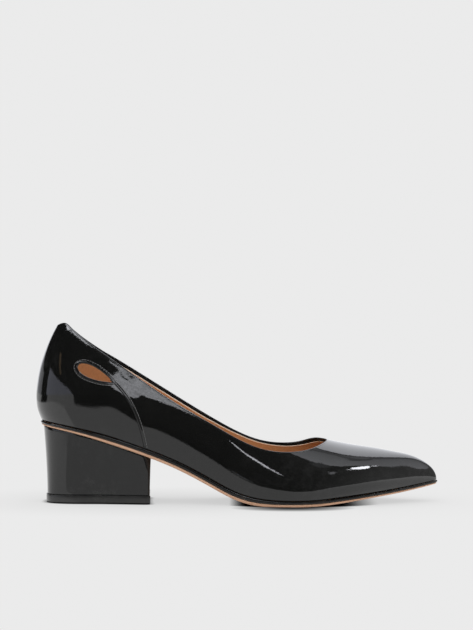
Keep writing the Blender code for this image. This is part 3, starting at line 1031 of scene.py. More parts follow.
class Wall:
    """Outer face of the upper, on which edges, bands and stitches are laid."""

    def __init__(self, face: Object) -> None:
        """Hold the face's mesh for searches."""
        self._tree = BVHTree.FromObject(face, bpy.context.evaluated_depsgraph_get())
        mesh = face.data
        self._points = [vertex.co.copy() for vertex in mesh.vertices]
        self._normals = [vertex.normal.copy() for vertex in mesh.vertices]
        self._faces = [tuple(polygon.vertices) for polygon in mesh.polygons]

    def _smooth_normal(self, place: Vector, face: int) -> Vector:
        """Normal at a place, from the corners of its face."""
        total = Vector((0.0, 0.0, 0.0))
        for corner in self._faces[face]:
            total += self._normals[corner] / ((self._points[corner] - place).length_squared + WELD**2)
        return total.normalized()

    def nearest(self, points: np.ndarray) -> tuple[np.ndarray, np.ndarray]:
        """Nearest places on the wall.

        Args:
            points: points near the wall.

        Returns:
            The places and the wall's normals there.
        """
        places, normals = [], []
        for point in points:
            place, _, face, _ = self._tree.find_nearest(Vector(point))
            places.append(place)
            normals.append(self._smooth_normal(place, face))
        return np.array(places), np.array(normals)

    def from_side(self, outline: np.ndarray) -> np.ndarray:
        """Points where an outline in the side view, given as x and z, meets the outer wall."""
        points = []
        for x, z in outline:
            start = Vector((x, Side.LATERAL * RAY_START, z))
            place, _, _, _ = self._tree.ray_cast(start, Vector((0.0, -Side.LATERAL, 0.0)))
            if place:
                points.append(place)
        return np.array(points)

    def path(self, points: np.ndarray, closed: bool) -> LaidPath:
        """Lay a curve on the wall.

        Args:
            points: points near the wall.
            closed: whether the curve joins its ends.

        Returns:
            The curve with its frames.
        """
        places, out = self.nearest(points)
        return LaidPath(places, out, unit(np.cross(out, tangents(places, closed))))

    def beside(
        self, path: LaidPath, across: float | np.ndarray, proud: float
    ) -> tuple[np.ndarray, np.ndarray]:
        """Points of the wall beside a curve.

        Args:
            path: curve on the wall.
            across: distance from the curve, one for all its points or one for each.
            proud: height over the wall.

        Returns:
            The points and the wall's normals under them.
        """
        places, normals = self.nearest(path.points + path.aside * np.reshape(across, (-1, 1)))
        return places + normals * proud, normals


def resample(points: np.ndarray, spacing: float, closed: bool) -> np.ndarray:
    """Even points along a curve.

    Args:
        points: points of the curve, with any values that they carry after their axes.
        spacing: distance between the new points.
        closed: whether the curve joins its ends.

    Returns:
        The new points, without a second copy of the first one.
    """
    if closed:
        points = close_ring(points)
    steps = np.linalg.norm(np.diff(points[:, :AXES], axis=0), axis=1)
    lengths = np.concatenate(([0.0], np.cumsum(steps)))
    count = max(LEAST_STEPS, round(lengths[-1] / spacing))
    places = np.linspace(0.0, lengths[-1], count + 1)
    even = np.stack([np.interp(places, lengths, column) for column in points.T], axis=-1)
    return even[:-1] if closed else even


@dataclass(frozen=True)
class Fold:
    """Folded edge of the leather, as a profile across a curve on the wall.

    The skive thins the outer leg: shares of its run and of its height. The inner leg ends with a slant.
    """

    outer_leg: float
    inner_leg: float
    thickness: float
    proud: float
    tuck: float = 0.25 * MM
    skive: tuple[Pair, ...] = ((0.06, 0.35), (0.25, 0.8), (0.6, 1.0))
    slant: Pair = (0.4 * MM, 0.2 * MM)
    setback: float = 0.3 * MM
    steps: int = 9

    def profile(self, seat: float) -> list[Pair]:
        """Closed profile as distances from the edge into the wall and out of it.

        Args:
            seat: how far the fold lies behind the edge, as a share of its radius.

        Returns:
            Points of the profile.
        """
        radius = self.thickness / 2 + self.proud
        middle = -self.thickness / 2
        run = self.outer_leg - radius * seat
        points = [(self.outer_leg, -self.tuck)]
        for back, share in self.skive:
            points.append((self.outer_leg - run * back, self.proud * share))
        for step in range(self.steps + 1):
            angle = math.pi * step / self.steps
            points.append((radius * (seat - math.sin(angle)), middle + radius * math.cos(angle)))
        points += [
            (self.inner_leg - self.slant[0], middle - radius),
            (self.inner_leg, middle - radius + self.slant[1]),
            (self.inner_leg - self.setback, middle),
            (self.outer_leg - self.setback, middle),
        ]
        return points


def sweep(
    name: str,
    wall: Wall,
    path: LaidPath,
    profile: Sequence[Pair],
    closed: bool,
    edge: bool = True,
    spread: float | np.ndarray = 1.0,
) -> Object:
    """Run a closed profile along a curve on the wall.

    Args:
        name: name of the piece.
        wall: wall that the curve lies on.
        path: curve.
        profile: distances across the curve and out of the wall.
        closed: whether the curve joins its ends.
        edge: whether the wall ends at the curve, so that the profile runs past it there.
        spread: factor of the distances across, one for all points of the curve or one for each.

    Returns:
        The piece.
    """
    rows = []
    for across, proud in (*profile, profile[0]):
        if edge and across <= 0:
            row = path.points + path.aside * across + path.out * proud
        else:
            row = wall.beside(path, across * spread, proud)[0]
        rows.append(close_ring(row) if closed else row)
    return lay_grid(name, np.array(rows), closed=True)


@dataclass(frozen=True)
class StitchRow:
    """A row of stitches along a curve."""

    pitch: float = 1.7 * MM
    length: float = 1.25 * MM
    width: float = 0.42 * MM
    height: float = 0.3 * MM
    squareness: float = 0.75
    segments: int = 8
    rings: int = 6

    def _stitch(self) -> tuple[np.ndarray, list[tuple[int, ...]]]:
        """Points and faces of one stitch along x, a sphere with its ends squared."""
        bpy.ops.object.select_all(action="DESELECT")
        bpy.ops.mesh.primitive_uv_sphere_add(segments=self.segments, ring_count=self.rings, radius=0.5)
        one = bpy.context.active_object
        shape = np.array([vertex.co[:] for vertex in one.data.vertices])
        faces = [tuple(polygon.vertices) for polygon in one.data.polygons]
        bpy.data.objects.remove(one)
        shape = np.stack((shape[:, 2], shape[:, 0], shape[:, 1]), axis=1)
        squared = np.sign(shape) * np.abs(2 * shape) ** self.squareness / 2
        return squared * (self.length, self.width, self.height), faces

    def build(self, name: str, points: np.ndarray, out: np.ndarray, closed: bool) -> Object:
        """Model one stitch and copy it along the curve into one mesh.

        Args:
            name: name of the piece.
            points: points of the curve, on the leather.
            out: normals of the leather at the points.
            closed: whether the curve joins its ends.

        Returns:
            The piece.
        """
        both = resample(np.concatenate((points, out), axis=1), self.pitch, closed)
        places, normals = both[:, :AXES], both[:, AXES:]
        along = tangents(places, closed)
        aside = unit(np.cross(along, normals))
        normals = np.cross(aside, along)
        stitch, faces = self._stitch()
        vertices, polygons = [], []
        for place, first, second, third in zip(places, along, aside, normals):
            start = len(vertices)
            placed = place + stitch[:, :1] * first + stitch[:, 1:2] * second + stitch[:, 2:] * third
            vertices.extend(placed.tolist())
            polygons.extend(tuple(start + corner for corner in face) for face in faces)
        mesh = bpy.data.meshes.new(name)
        mesh.from_pydata(vertices, [], polygons)
        mesh.shade_smooth()
        piece = bpy.data.objects.new(name, mesh)
        bpy.context.scene.collection.objects.link(piece)
        choose(piece)
        with edit_mesh():
            bpy.ops.mesh.normals_make_consistent(inside=False)
        return piece


@dataclass(frozen=True)
class Teardrop:
    """Cut-out in the outer quarter and the lapped seam below it, in the side view."""

    tip: Pair = (-75.2 * MM, 75.0 * MM)
    length: float = 24.0 * MM
    bulge: float = 4.75 * MM
    tilt: float = math.radians(155.5)
    seam: tuple[Pair, ...] = (
        (-77.0 * MM, 76.6 * MM), (-63.8 * MM, 65.0 * MM), (-58.2 * MM, 50.5 * MM), (-55.4 * MM, 29.0 * MM),
    )
    points: int = 72
    seam_points: int = 60
    cutter_front: float = -70 * MM
    cutter_depth: float = 66 * MM

    def outline(self, grow: float) -> np.ndarray:
        """Outline as x and z, moved outwards by grow."""
        angle = 2 * math.pi * np.arange(self.points) / self.points
        along = self.length / 2 * (1 - np.cos(angle))
        across = self.bulge * np.sin(angle) * np.abs(np.sin(angle / 2))
        x = self.tip[0] + along * math.cos(self.tilt) - across * math.sin(self.tilt)
        z = self.tip[1] + along * math.sin(self.tilt) + across * math.cos(self.tilt)
        return offset_outline(np.stack((x, z), axis=-1), grow)

    def seam_line(self, spacing: float) -> np.ndarray:
        """Line of the seam as x and z, from the cut-out's tip to the feather line."""
        controls = [np.array(control) for control in self.seam]
        line = np.array([bezier(controls, share) for share in np.linspace(0, 1, self.seam_points)])
        return resample(line, spacing, closed=False)

    def cutter(self, grow: float) -> Object:
        """Prism through the outer wall in the cut-out's outline.

        Args:
            grow: how far the prism is wider than the outline.

        Returns:
            The prism, to be deleted after use.
        """
        outline = self.outline(grow)
        bpy.ops.object.select_all(action="DESELECT")
        bpy.ops.mesh.primitive_circle_add(vertices=len(outline), radius=1.0, fill_type="NGON")
        prism = bpy.context.active_object
        prism.name = "teardrop_cutter"
        for vertex, (x, z) in zip(prism.data.vertices, outline):
            vertex.co = (x, self.cutter_front, z)
        with edit_mesh():
            bpy.ops.mesh.extrude_region_move(TRANSFORM_OT_translate={"value": (0.0, self.cutter_depth, 0.0)})
            bpy.ops.mesh.select_all(action="SELECT")
            bpy.ops.mesh.normals_make_consistent(inside=False)
        return prism

    def cut(self, piece: Object, grow: float) -> None:
        """Cut the teardrop out of a piece."""
        prism = self.cutter(grow)
        hole = piece.modifiers.new("teardrop", "BOOLEAN")
        hole.operation = "DIFFERENCE"
        hole.solver = "EXACT"
        hole.object = prism
        apply_modifier(piece, hole)
        bpy.data.objects.remove(prism)


def crease(points: np.ndarray) -> np.ndarray:
    """Lay the table's creases on rows of points of the wall.

    Args:
        points: points, indexed by row, column and axis, with the toe tip first and last in each row.

    Returns:
        The points with the outer side's ridges and troughs.
    """
    out = np.cross(np.gradient(points, axis=1), np.gradient(points, axis=0))
    out /= np.linalg.norm(out, axis=-1)[..., None] + WELD**2
    outer = np.arange(points.shape[1]) <= points.shape[1] // 2
    lift = np.zeros(points.shape[:2])
    for row in CREASES:
        line = np.array(row.line) * MM
        nearest = np.full(points.shape[:2], np.inf)
        for start, end in zip(line, line[1:]):
            run = end - start
            offset = points[..., (0, 2)] - start
            share = np.clip(offset @ run / (run @ run), 0.0, 1.0)
            nearest = np.minimum(nearest, np.linalg.norm(offset - share[..., None] * run, axis=-1))
        lift += row.height * MM * np.exp(-((nearest / (row.width * MM)) ** 2))
    facing = -np.sign(np.mean(out[:, outer, 1]))
    return points + out * (facing * lift * outer)[..., None]


# Profiles across the seam in millimetres: distance from its line towards the toe, and height over the wall.
SEAM_LAP = (
    (0.0, -0.3), (-0.05, 0.1), (0.05, 0.26), (0.25, 0.34), (0.6, 0.33), (0.95, 0.22), (1.3, 0.05),
    (1.6, -0.06), (1.6, -0.3),
)
SEAM_GROOVE = ((-0.5, -0.3), (-0.42, 0.04), (-0.02, 0.12), (0.1, -0.3))

# Upper part of the lining's cut edge in millimetres: distance below its line, and outwards from the lining.
LINING_BEAD = ((-0.1, 0.0), (-0.05, -0.25), (0.1, -0.4), (0.3, -0.36))


@dataclass(frozen=True)
class Upper:
    """Patent shell with its folded edges, lapped seam and stitches, and the lining inside it.

    Stitches have their distance from the edge and their height over the wall. The facing has rows of place
    along the shoe and width, and runs over a span of that width.
    """

    last: Last
    cut_out: Teardrop
    spacing: float = 1.25 * MM
    rows: int = 60
    shell: float = 1.1 * MM
    lining: float = 0.6 * MM
    lining_gap: float = 0.08 * MM
    lining_drop: float = 1.2 * MM
    lining_edge: float = 0.85 * MM
    lining_edge_foot: Pair = (-0.1 * MM, -0.12 * MM)
    lining_spacing: float = 2.0 * MM
    lining_rows: int = 30
    hole_grow: float = 0.35 * MM
    lining_hole_grow: float = 1.4 * MM
    topline_step: float = 1.2 * MM
    rim_step: float = 0.7 * MM
    seam_step: float = 0.8 * MM
    rim_stitches: Pair = (2.2 * MM, 0.1 * MM)
    seam_stitches: Pair = (1.7 * MM, 0.06 * MM)
    facing_span: Pair = (0.2, 1.0)
    facing_depth: Pair = (0.3 * MM, -0.05 * MM)
    facing: tuple[Pair, ...] = (
        (-70 * MM, 1.9 * MM), (-20 * MM, 1.7 * MM), (2 * MM, 0.85 * MM), (20 * MM, 0.95 * MM),
        (38 * MM, 1.7 * MM), (47 * MM, 2.3 * MM), (57 * MM, 2.9 * MM),
    )

    def points(self, spacing: float, rows: int, drop: float) -> np.ndarray:
        """Points of the wall up to the topline.

        Args:
            spacing: distance between the columns of the grid.
            rows: rows of the grid.
            drop: how far the edge runs inside the topline.

        Returns:
            Points, indexed by row, column and axis.
        """
        columns = self.last.columns(spacing, drop)
        share = np.linspace(0, 1, rows + 1)[:, None] * self.last.top_share(columns, drop)
        return self.last.wall(columns, share)

    def topline_points(self) -> np.ndarray:
        """Points of the topline, from the throat round the heel."""
        columns = self.last.columns(self.spacing)
        behind = self.last.base(columns)[0] < self.last.throat
        points = self.last.wall(columns, self.last.top_share(columns))[behind]
        return resample(points, self.topline_step, closed=True)

    def build(self, effects: Effects) -> None:
        """Model and dress the upper."""
        patent = BLACK_PATENT.make(effects)
        thread = BLACK_THREAD_SHEEN.make(effects)
        dull = FACING_BLACK.make(effects)
        shell = lay_grid("patent_shell", crease(self.points(self.spacing, self.rows, 0.0)))
        wall = Wall(shell)
        thicken(shell, self.shell)
        self.cut_out.cut(shell, self.hole_grow)
        enter(shell, [patent], Slot.PATENT, "upper")
        top = wall.path(self.topline_points(), closed=True)
        self._topline(wall, top, patent)
        self._hole(wall, patent, thread)
        self._seam(wall, patent, dull, thread)
        self._lining(wall, top, effects)
        self._facing(wall, top, dull)

    def _topline(self, wall: Wall, top: LaidPath, patent: Material) -> None:
        """Folded edge of the collar opening."""
        fold = Fold(outer_leg=0.9 * MM, inner_leg=1.6 * MM, thickness=self.shell, proud=0.02 * MM)
        edge = sweep("topline_fold", wall, top, fold.profile(seat=0.5), closed=True)
        enter(edge, [patent], Slot.PATENT, "upper")

    def _hole(self, wall: Wall, patent: Material, thread: Material) -> None:
        """Folded rim of the teardrop with its stitches."""
        outline = wall.from_side(self.cut_out.outline(0.0))
        hole = wall.path(resample(outline, self.rim_step, closed=True), closed=True)
        fold = Fold(outer_leg=1.8 * MM, inner_leg=1.4 * MM, thickness=self.shell, proud=0.3 * MM)
        rim = sweep("teardrop_rim", wall, hole, fold.profile(seat=1.0), closed=True)
        enter(rim, [patent], Slot.PATENT, "upper")
        points, out = wall.beside(hole, *self.rim_stitches)
        enter(StitchRow().build("teardrop_stitches", points, out, closed=True), [thread], Slot.PATENT)

    def _seam(self, wall: Wall, patent: Material, dull: Material, thread: Material) -> None:
        """Lapped seam from the teardrop to the feather line, with the toe's side on top."""
        line = wall.from_side(self.cut_out.seam_line(self.seam_step))
        path = wall.path(line, closed=False)
        lap = sweep("seam_lap", wall, path, in_metres(SEAM_LAP), closed=False, edge=False)
        enter(lap, [patent], Slot.PATENT, "upper")
        groove = sweep("seam_groove", wall, path, in_metres(SEAM_GROOVE), closed=False, edge=False)
        enter(groove, [dull], Slot.PATENT)
        points, out = wall.beside(path, *self.seam_stitches)
        enter(StitchRow().build("seam_stitches", points, out, closed=False), [thread], Slot.PATENT)

    @property
    def _lining_face(self) -> float:
        """Level of the lining's inner face, below the wall's outer one."""
        return -(self.shell + self.lining_gap + self.lining)

    def _lining(self, wall: Wall, top: LaidPath, effects: Effects) -> None:
        """Tan lining, and its pale cut edge below the folded topline."""
        lining = lay_grid("lining", self.points(self.lining_spacing, self.lining_rows, self.lining_drop))
        with edit_mesh():
            bpy.ops.transform.shrink_fatten(value=-(self.shell + self.lining_gap), use_even_offset=False)
        thicken(lining, self.lining)
        self.cut_out.cut(lining, self.lining_hole_grow)
        enter(lining, [LINING_LEATHER.make(effects)], Slot.INSOLE, "upper")
        face, width = self._lining_face, self.lining_edge
        profile = (
            (0.0, face + self.lining),
            *((across, face + out) for across, out in in_metres(LINING_BEAD)),
            (width + self.lining_edge_foot[0], face + self.lining_edge_foot[1]),
            (width, face),
            (width, face + self.lining),
        )
        line = wall.beside(top, self._drop(top.points[:, 0]), 0.0)[0]
        path = wall.path(line, closed=True)
        edge = sweep("lining_edge", wall, path, profile, closed=True, edge=False)
        enter(edge, [LINING_EDGE.make(effects)], Slot.INSOLE)

    def _drop(self, x: np.ndarray) -> np.ndarray:
        """How far the lining's edge lies below the topline, which is the facing's width."""
        places, widths = zip(*self.facing)
        return np.interp(x, places, widths)

    def _facing(self, wall: Wall, top: LaidPath, dull: Material) -> None:
        """Black facing inside the collar, between the folded topline and the lining's edge."""
        first, last = self.facing_span
        back, front = (self._lining_face + depth for depth in self.facing_depth)
        profile = ((first, back), (first, front), (last, front), (last, back))
        spread = self._drop(top.points[:, 0])
        strip = sweep("collar_facing", wall, top, profile, closed=True, edge=False, spread=spread)
        enter(strip, [dull], Slot.PATENT)


# Edges from the bottom up: level as a share of the layer's height, and outset in millimetres.
INSOLE_EDGE = ((0.0, 0.0), (0.5, 0.0), (0.8, -0.12), (0.95, -0.4), (1.0, -0.9))
RAND_EDGE = (
    (0.0, -0.75), (0.1, -0.35), (0.25, -0.08), (0.45, 0.0), (0.65, -0.04), (0.82, -0.22), (0.94, -0.55),
    (1.0, -1.0),
)
SOLE_EDGE = ((0.0, -1.1), (0.12, -0.55), (0.35, -0.15), (0.7, 0.0), (1.0, -0.05))
LIFT_EDGE = ((0.0, -0.25), (0.06, 0.15), (0.16, 0.5), (0.9, 0.5), (0.97, 0.4), (1.0, 0.15))


@dataclass(frozen=True)
class Layer:
    """A layer of the bottom between two curves of x.

    Its edge has rows of a level between the curves and an outset in millimetres, added to the layer's own.
    """

    name: str
    node: str
    slot: Slot
    finish: Finish
    outset: float
    edge: tuple[Pair, ...]
    lower: Curve
    upper: Curve
    dish: float = 0.0
    across: int = 16

    def build(self, last: Last, columns: Columns) -> Object:
        """Run the layer's closed section from the toe to the heel.

        Args:
            last: last whose feather line the layer follows.
            columns: columns once round the shoe.

        Returns:
            The piece.
        """
        half = columns.half + 1
        edge = [(level, last.outline(columns, self.outset + outset * MM)) for level, outset in self.edge]
        shares = np.arange(1, self.across) / self.across
        rows = [self._place(ring[:half], level, 0.0) for level, ring in edge]
        rows += [self._between(edge[-1][1], half, share, 1.0) for share in shares]
        rows += [self._place(ring[::-1][:half], level, 0.0) for level, ring in edge[::-1]]
        rows += [self._between(edge[0][1], half, 1 - share, 0.0) for share in shares]
        return lay_grid(self.name, np.array([*rows, rows[0]]), closed=True)

    def _between(self, ring: np.ndarray, half: int, share: float, level: float) -> np.ndarray:
        """Points on the way from the outer to the inner side of a ring."""
        plan = ring[:half] * (1 - share) + ring[::-1][:half] * share
        return self._place(plan, level, self.dish * bow(share))

    def _place(self, plan: np.ndarray, level: float, sink: float) -> np.ndarray:
        """Points at a level between the layer's two curves."""
        low, high = self.lower(plan[:, 0]), self.upper(plan[:, 0])
        return raise_plan(plan, low + (high - low) * level - sink * level)


@dataclass(frozen=True)
class Bottom:
    """Insole, rand and outsole."""

    last: Last
    spacing: float = 1.5 * MM
    insole_thickness: float = 1.5 * MM
    insole_inset: float = 2.3 * MM
    insole_dish: float = 0.5 * MM
    rand_proud: float = 0.6 * MM
    sole_inset: float = 0.1 * MM

    def layers(self) -> tuple[Layer, ...]:
        """Layers from the top down."""
        last, seat = self.last, self.last.gap / 2
        insole = Layer(
            "insole_sock",
            "insole",
            Slot.INSOLE,
            LINING_LEATHER,
            outset=-self.insole_inset,
            edge=INSOLE_EDGE,
            lower=lambda x: last.feather(x) + seat,
            upper=lambda x: last.feather(x) + seat + self.insole_thickness,
            dish=self.insole_dish,
        )
        rand = Layer(
            "rand_bead",
            "rand",
            Slot.RAND,
            RAND_PATENT,
            outset=self.rand_proud,
            edge=RAND_EDGE,
            lower=lambda x: last.rand_bottom(x) + seat / 2,
            upper=lambda x: last.feather(x) - seat / 2,
        )
        outsole = Layer(
            "leather_outsole",
            "outsole",
            Slot.SOLE,
            SOLE_LEATHER,
            outset=-self.sole_inset,
            edge=SOLE_EDGE,
            lower=last.sole_bottom,
            upper=lambda x: last.rand_bottom(x) - seat / 2,
        )
        return insole, rand, outsole

    def build(self, effects: Effects) -> None:
        """Model and dress the layers."""
        columns = self.last.columns(self.spacing)
        for layer in self.layers():
            enter(layer.build(self.last, columns), [layer.finish.make(effects)], layer.slot, layer.node)


@dataclass(frozen=True)
class Heel:
    """Covered heel block and its top piece.

    Pairs are sizes at the block's bottom and top. The powers say how back, breast, inset and corner change
    between the two.
    """

    last: Last
    back: Pair = (-117.8 * MM, -120.4 * MM)
    breast: Pair = (-53.2 * MM, -52.6 * MM)
    slant: float = 2.2 * MM
    inset: Pair = (1.4 * MM, 0.6 * MM)
    taper: float = 3.5 * MM
    foot_squareness: float = 3.2
    corner: Pair = (1.6 * MM, 5.5 * MM)
    powers: tuple[float, ...] = (1.5, 1.0, 1.0, 3.0)
    hollow: float = 1.2 * MM
    top_piece: float = 5.4 * MM
    breast_facing: float = 0.4
    # Height of the lowest band, which takes the painted contact shade.
    tread: float = 0.6 * MM
    rounding: float = 0.35 * MM
    rounded_angle: float = math.radians(50)
    lift_angle: float = math.radians(40)
    levels: int = 24
    corner_points: int = 9
    side_points: int = 18
    back_points: int = 33

    def _side(self, side: Side, share: float) -> list[Pair]:
        """One side of the block's outline, from the breast to the middle of the back."""
        last = self.last
        ends = (self.back, self.breast, self.inset, self.corner)
        back, breast, inset, radius = (
            low + (high - low) * share**power for (low, high), power in zip(ends, self.powers)
        )
        front = breast - (self.slant if side == Side.MEDIAL else 0.0)
        taper = self.taper * (1 - share)
        foot = 2 / self.foot_squareness
        lengthwise = foot + (2 / last.heel_squareness - foot) * share
        crosswise = foot + (1 - foot) * share
        widths = last.section[side.name.lower()]
        points = []
        corner = float(widths(last.toeward(front))) - inset - radius
        start = front - radius
        for angle in np.linspace(0, math.pi / 2, self.corner_points):
            points.append((start + radius * math.cos(angle), side * (corner + radius * math.sin(angle))))
        for x in np.linspace(start, last.heel_axis, self.side_points)[1:]:
            narrow = taper * (start - x) / (start - last.heel_axis)
            points.append((x, side * (float(widths(last.toeward(x))) - inset - narrow)))
        width = float(widths(last.toeward(last.heel_axis))) - inset - taper
        for turn in np.linspace(0, math.pi / 2, self.back_points)[1:]:
            depth = (last.heel_axis - back) * math.sin(turn) ** lengthwise
            points.append((last.heel_axis - depth, side * width * math.cos(turn) ** crosswise))
        return points

    def ring(self, share: float, proud: float) -> np.ndarray:
        """Closed outline of the block.

        Args:
            share: place between the block's bottom and its top.
            proud: how far the outline is moved outwards.

        Returns:
            Points in plan.
        """
        outer, inner = self._side(Side.LATERAL, share), self._side(Side.MEDIAL, share)
        breast = []
        for part in np.linspace(0, 1, self.side_points)[1:-1]:
            x, y = (first + (second - first) * part for first, second in zip(inner[0], outer[0]))
            breast.append((x - self.hollow * bow(part), y))
        ring = np.array(outer + inner[-2::-1] + breast)
        return offset_outline(ring + (0.0, self.last.centre_shift), proud)

    def build(self, effects: Effects) -> None:
        """Model and dress the block and the top piece."""
        self._block(effects)
        self._lift(effects)

    def _block(self, effects: Effects) -> None:
        """Covered block, with a dull dark brown finish on its breast as painted shade and a painted
        reflection of the shaded sole.
        """
        gap = self.last.gap / 3
        low = self.top_piece + gap
        rows = []
        for share in np.linspace(0, 1, self.levels + 1):
            ring = self.ring(share, 0.0)
            high = self.last.sole_bottom(ring[:, 0]) - gap
            rows.append(close_ring(raise_plan(ring, low + (high - low) * share)))
        block = lay_grid("heel_block", np.array(rows), closed=True)
        soften(block, self.rounding, self.rounded_angle)
        for face in block.data.polygons:
            # Faces turned towards the breast take the painted shade finish.
            face.material_index = int(face.normal.x > self.breast_facing)
        looks = [HEEL_PATENT.make(effects), HEEL_BREAST_SHADE.make(effects)]
        enter(block, looks, Slot.HEEL, "heel")

    def _lift(self, effects: Effects) -> None:
        """Top piece with its tread, which is near black as painted shade where it meets the floor."""
        rows = []
        for level, proud in LIFT_EDGE:
            ring = self.ring(0.0, proud * MM)
            rows.append(close_ring(raise_plan(ring, np.full(len(ring), level * self.top_piece))))
        lift = lay_grid("top_piece_lift", np.array(rows), closed=True)
        choose(lift)
        bpy.ops.object.shade_smooth_by_angle(angle=self.lift_angle)
        for face in lift.data.polygons:
            # The lowest band takes the near-black painted shade.
            face.material_index = int(face.center.z < self.tread)
        looks = [TOP_PIECE_RUBBER.make(effects), TOP_PIECE_SHADE.make(effects)]
        enter(lift, looks, Slot.TOP_PIECE, "top_piece")


@dataclass(frozen=True)
class Card:
    """A reflector that shows only in the gloss.

    Its corners are azimuth and elevation in degrees, seen from its centre: azimuth 0 is towards the camera
    and 90 towards the toe. Its light runs from its lowest to its highest corner along an axis, and a mottle
    takes a share of it away in small clouds.
    """

    name: str
    corners: tuple[Pair, ...]
    light: Pair
    colour: Colour = (0.96, 0.975, 1.03)
    distance: float = 20.0
    centre: Triple = (0.0, 0.0, 0.0)
    axis: str = "Z"
    mottle: float = 0.0


# Place on the outer quarter that two small cards hang round.
QUARTER = (-0.06, -0.022, 0.071)

CARDS = (
    Card(
        "backdrop_paper",
        ((150, -5), (150, 47), (158, 51), (168, 52), (180, 52), (190, 48), (194, 14), (212, 8), (212, -5)),
        (0.92, 1.75),
    ),
    Card("dim_ceiling", ((42, 71), (60, 73), (80, 75), (80, 84), (42, 80)), (0.28, 0.28)),
    Card(
        "overhead_box",
        (
            (86, 26), (92, 24), (125, 30), (150, 42), (155, 50), (158, 55), (147, 67), (120, 75),
            (92, 77.5), (78, 75.5), (88, 71), (98, 69.3), (105.5, 65), (106, 58), (102.5, 52), (96.5, 45.5),
            (90, 37),
        ),
        (1.45, 0.22),
        distance=20.5,
        axis="Y",
    ),
    Card(
        "ridge_shade",
        ((139, 26), (152, 26), (153, 50), (158, 56), (149, 62.5), (140, 65)),
        (0.3, 0.3),
        distance=20.2,
    ),
    Card(
        "lamp",
        ((73.5, 63.3), (79, 64.8), (85, 66), (96, 63.5), (103.5, 60), (99, 57.8), (87, 56), (79, 58.8)),
        (16.0, 16.0),
        distance=18.0,
    ),
    Card("lamp_left", ((66, 64.5), (69, 65), (71, 62.5), (68, 61.8)), (9.0, 9.0), distance=18.0),
    Card("lamp_right", ((101.5, 57), (104.5, 57.5), (104, 54), (101, 53.5)), (9.0, 9.0), distance=18.0),
    Card(
        "soft_spot",
        ((30.5, 55), (36, 55.5), (43, 61.5), (38.5, 63.5), (32.5, 59.5)),
        (1.2, 1.2),
        distance=19.0,
    ),
    Card(
        "silver_card",
        (
            (-9, 41), (0, 40), (8, 38), (12, 35), (20, 28), (26, 20.5), (31, 14.5), (34, 10.4), (27, 10.2),
            (22, 11.3), (15, 11.3), (13, 13.8), (9, 13.8), (5, 11.5), (2, 12.5), (0, 7), (-5, 6.5),
            (-9, 8.8), (-15, 9.2), (-19, 11), (-20, 16), (-18, 24), (-12, 25.5), (-8, 25.5), (-4, 29.5),
            (2, 32.5), (3, 35), (-1, 37.5), (-9, 39),
        ),
        (4.6, 4.6),
        distance=0.08,
        centre=QUARTER,
        mottle=0.6,
    ),
    Card(
        "silver_gap",
        ((3, 30.5), (8.5, 29.3), (9.5, 31.5), (5, 33)),
        (0.05, 0.05),
        distance=0.078,
        centre=QUARTER,
    ),
    Card(
        "counter_panel",
        (
            (-33, -2), (-36, 1), (-41, 4), (-50, 6), (-60, 8.2), (-70, 10), (-80, 12), (-90, 13.5),
            (-95, 14), (-95, -2),
        ),
        (0.8, 0.8),
        (0.93, 0.96, 1.12),
    ),
    Card(
        "collar_strip",
        (
            (-105, 36), (-90, 36.7), (-82, 37.1), (-70, 39.6), (-50, 39.8), (-42, 40.1), (-32, 39.2),
            (-24, 37.8), (-12, 36.2), (-3, 35.1), (-3, 36.4), (-12, 38.5), (-24, 46), (-50, 52), (-105, 48),
        ),
        (7.0, 7.0),
    ),
    Card("warm_strip", ((-59, 13), (-62, 13), (-76, 24.5), (-70, 24.5)), (0.55, 0.55), (1.0, 0.72, 0.45)),
    Card("rear_card", ((-117, -2), (-117, 8), (-148, 9), (-148, -2)), (0.5, 0.5)),
)


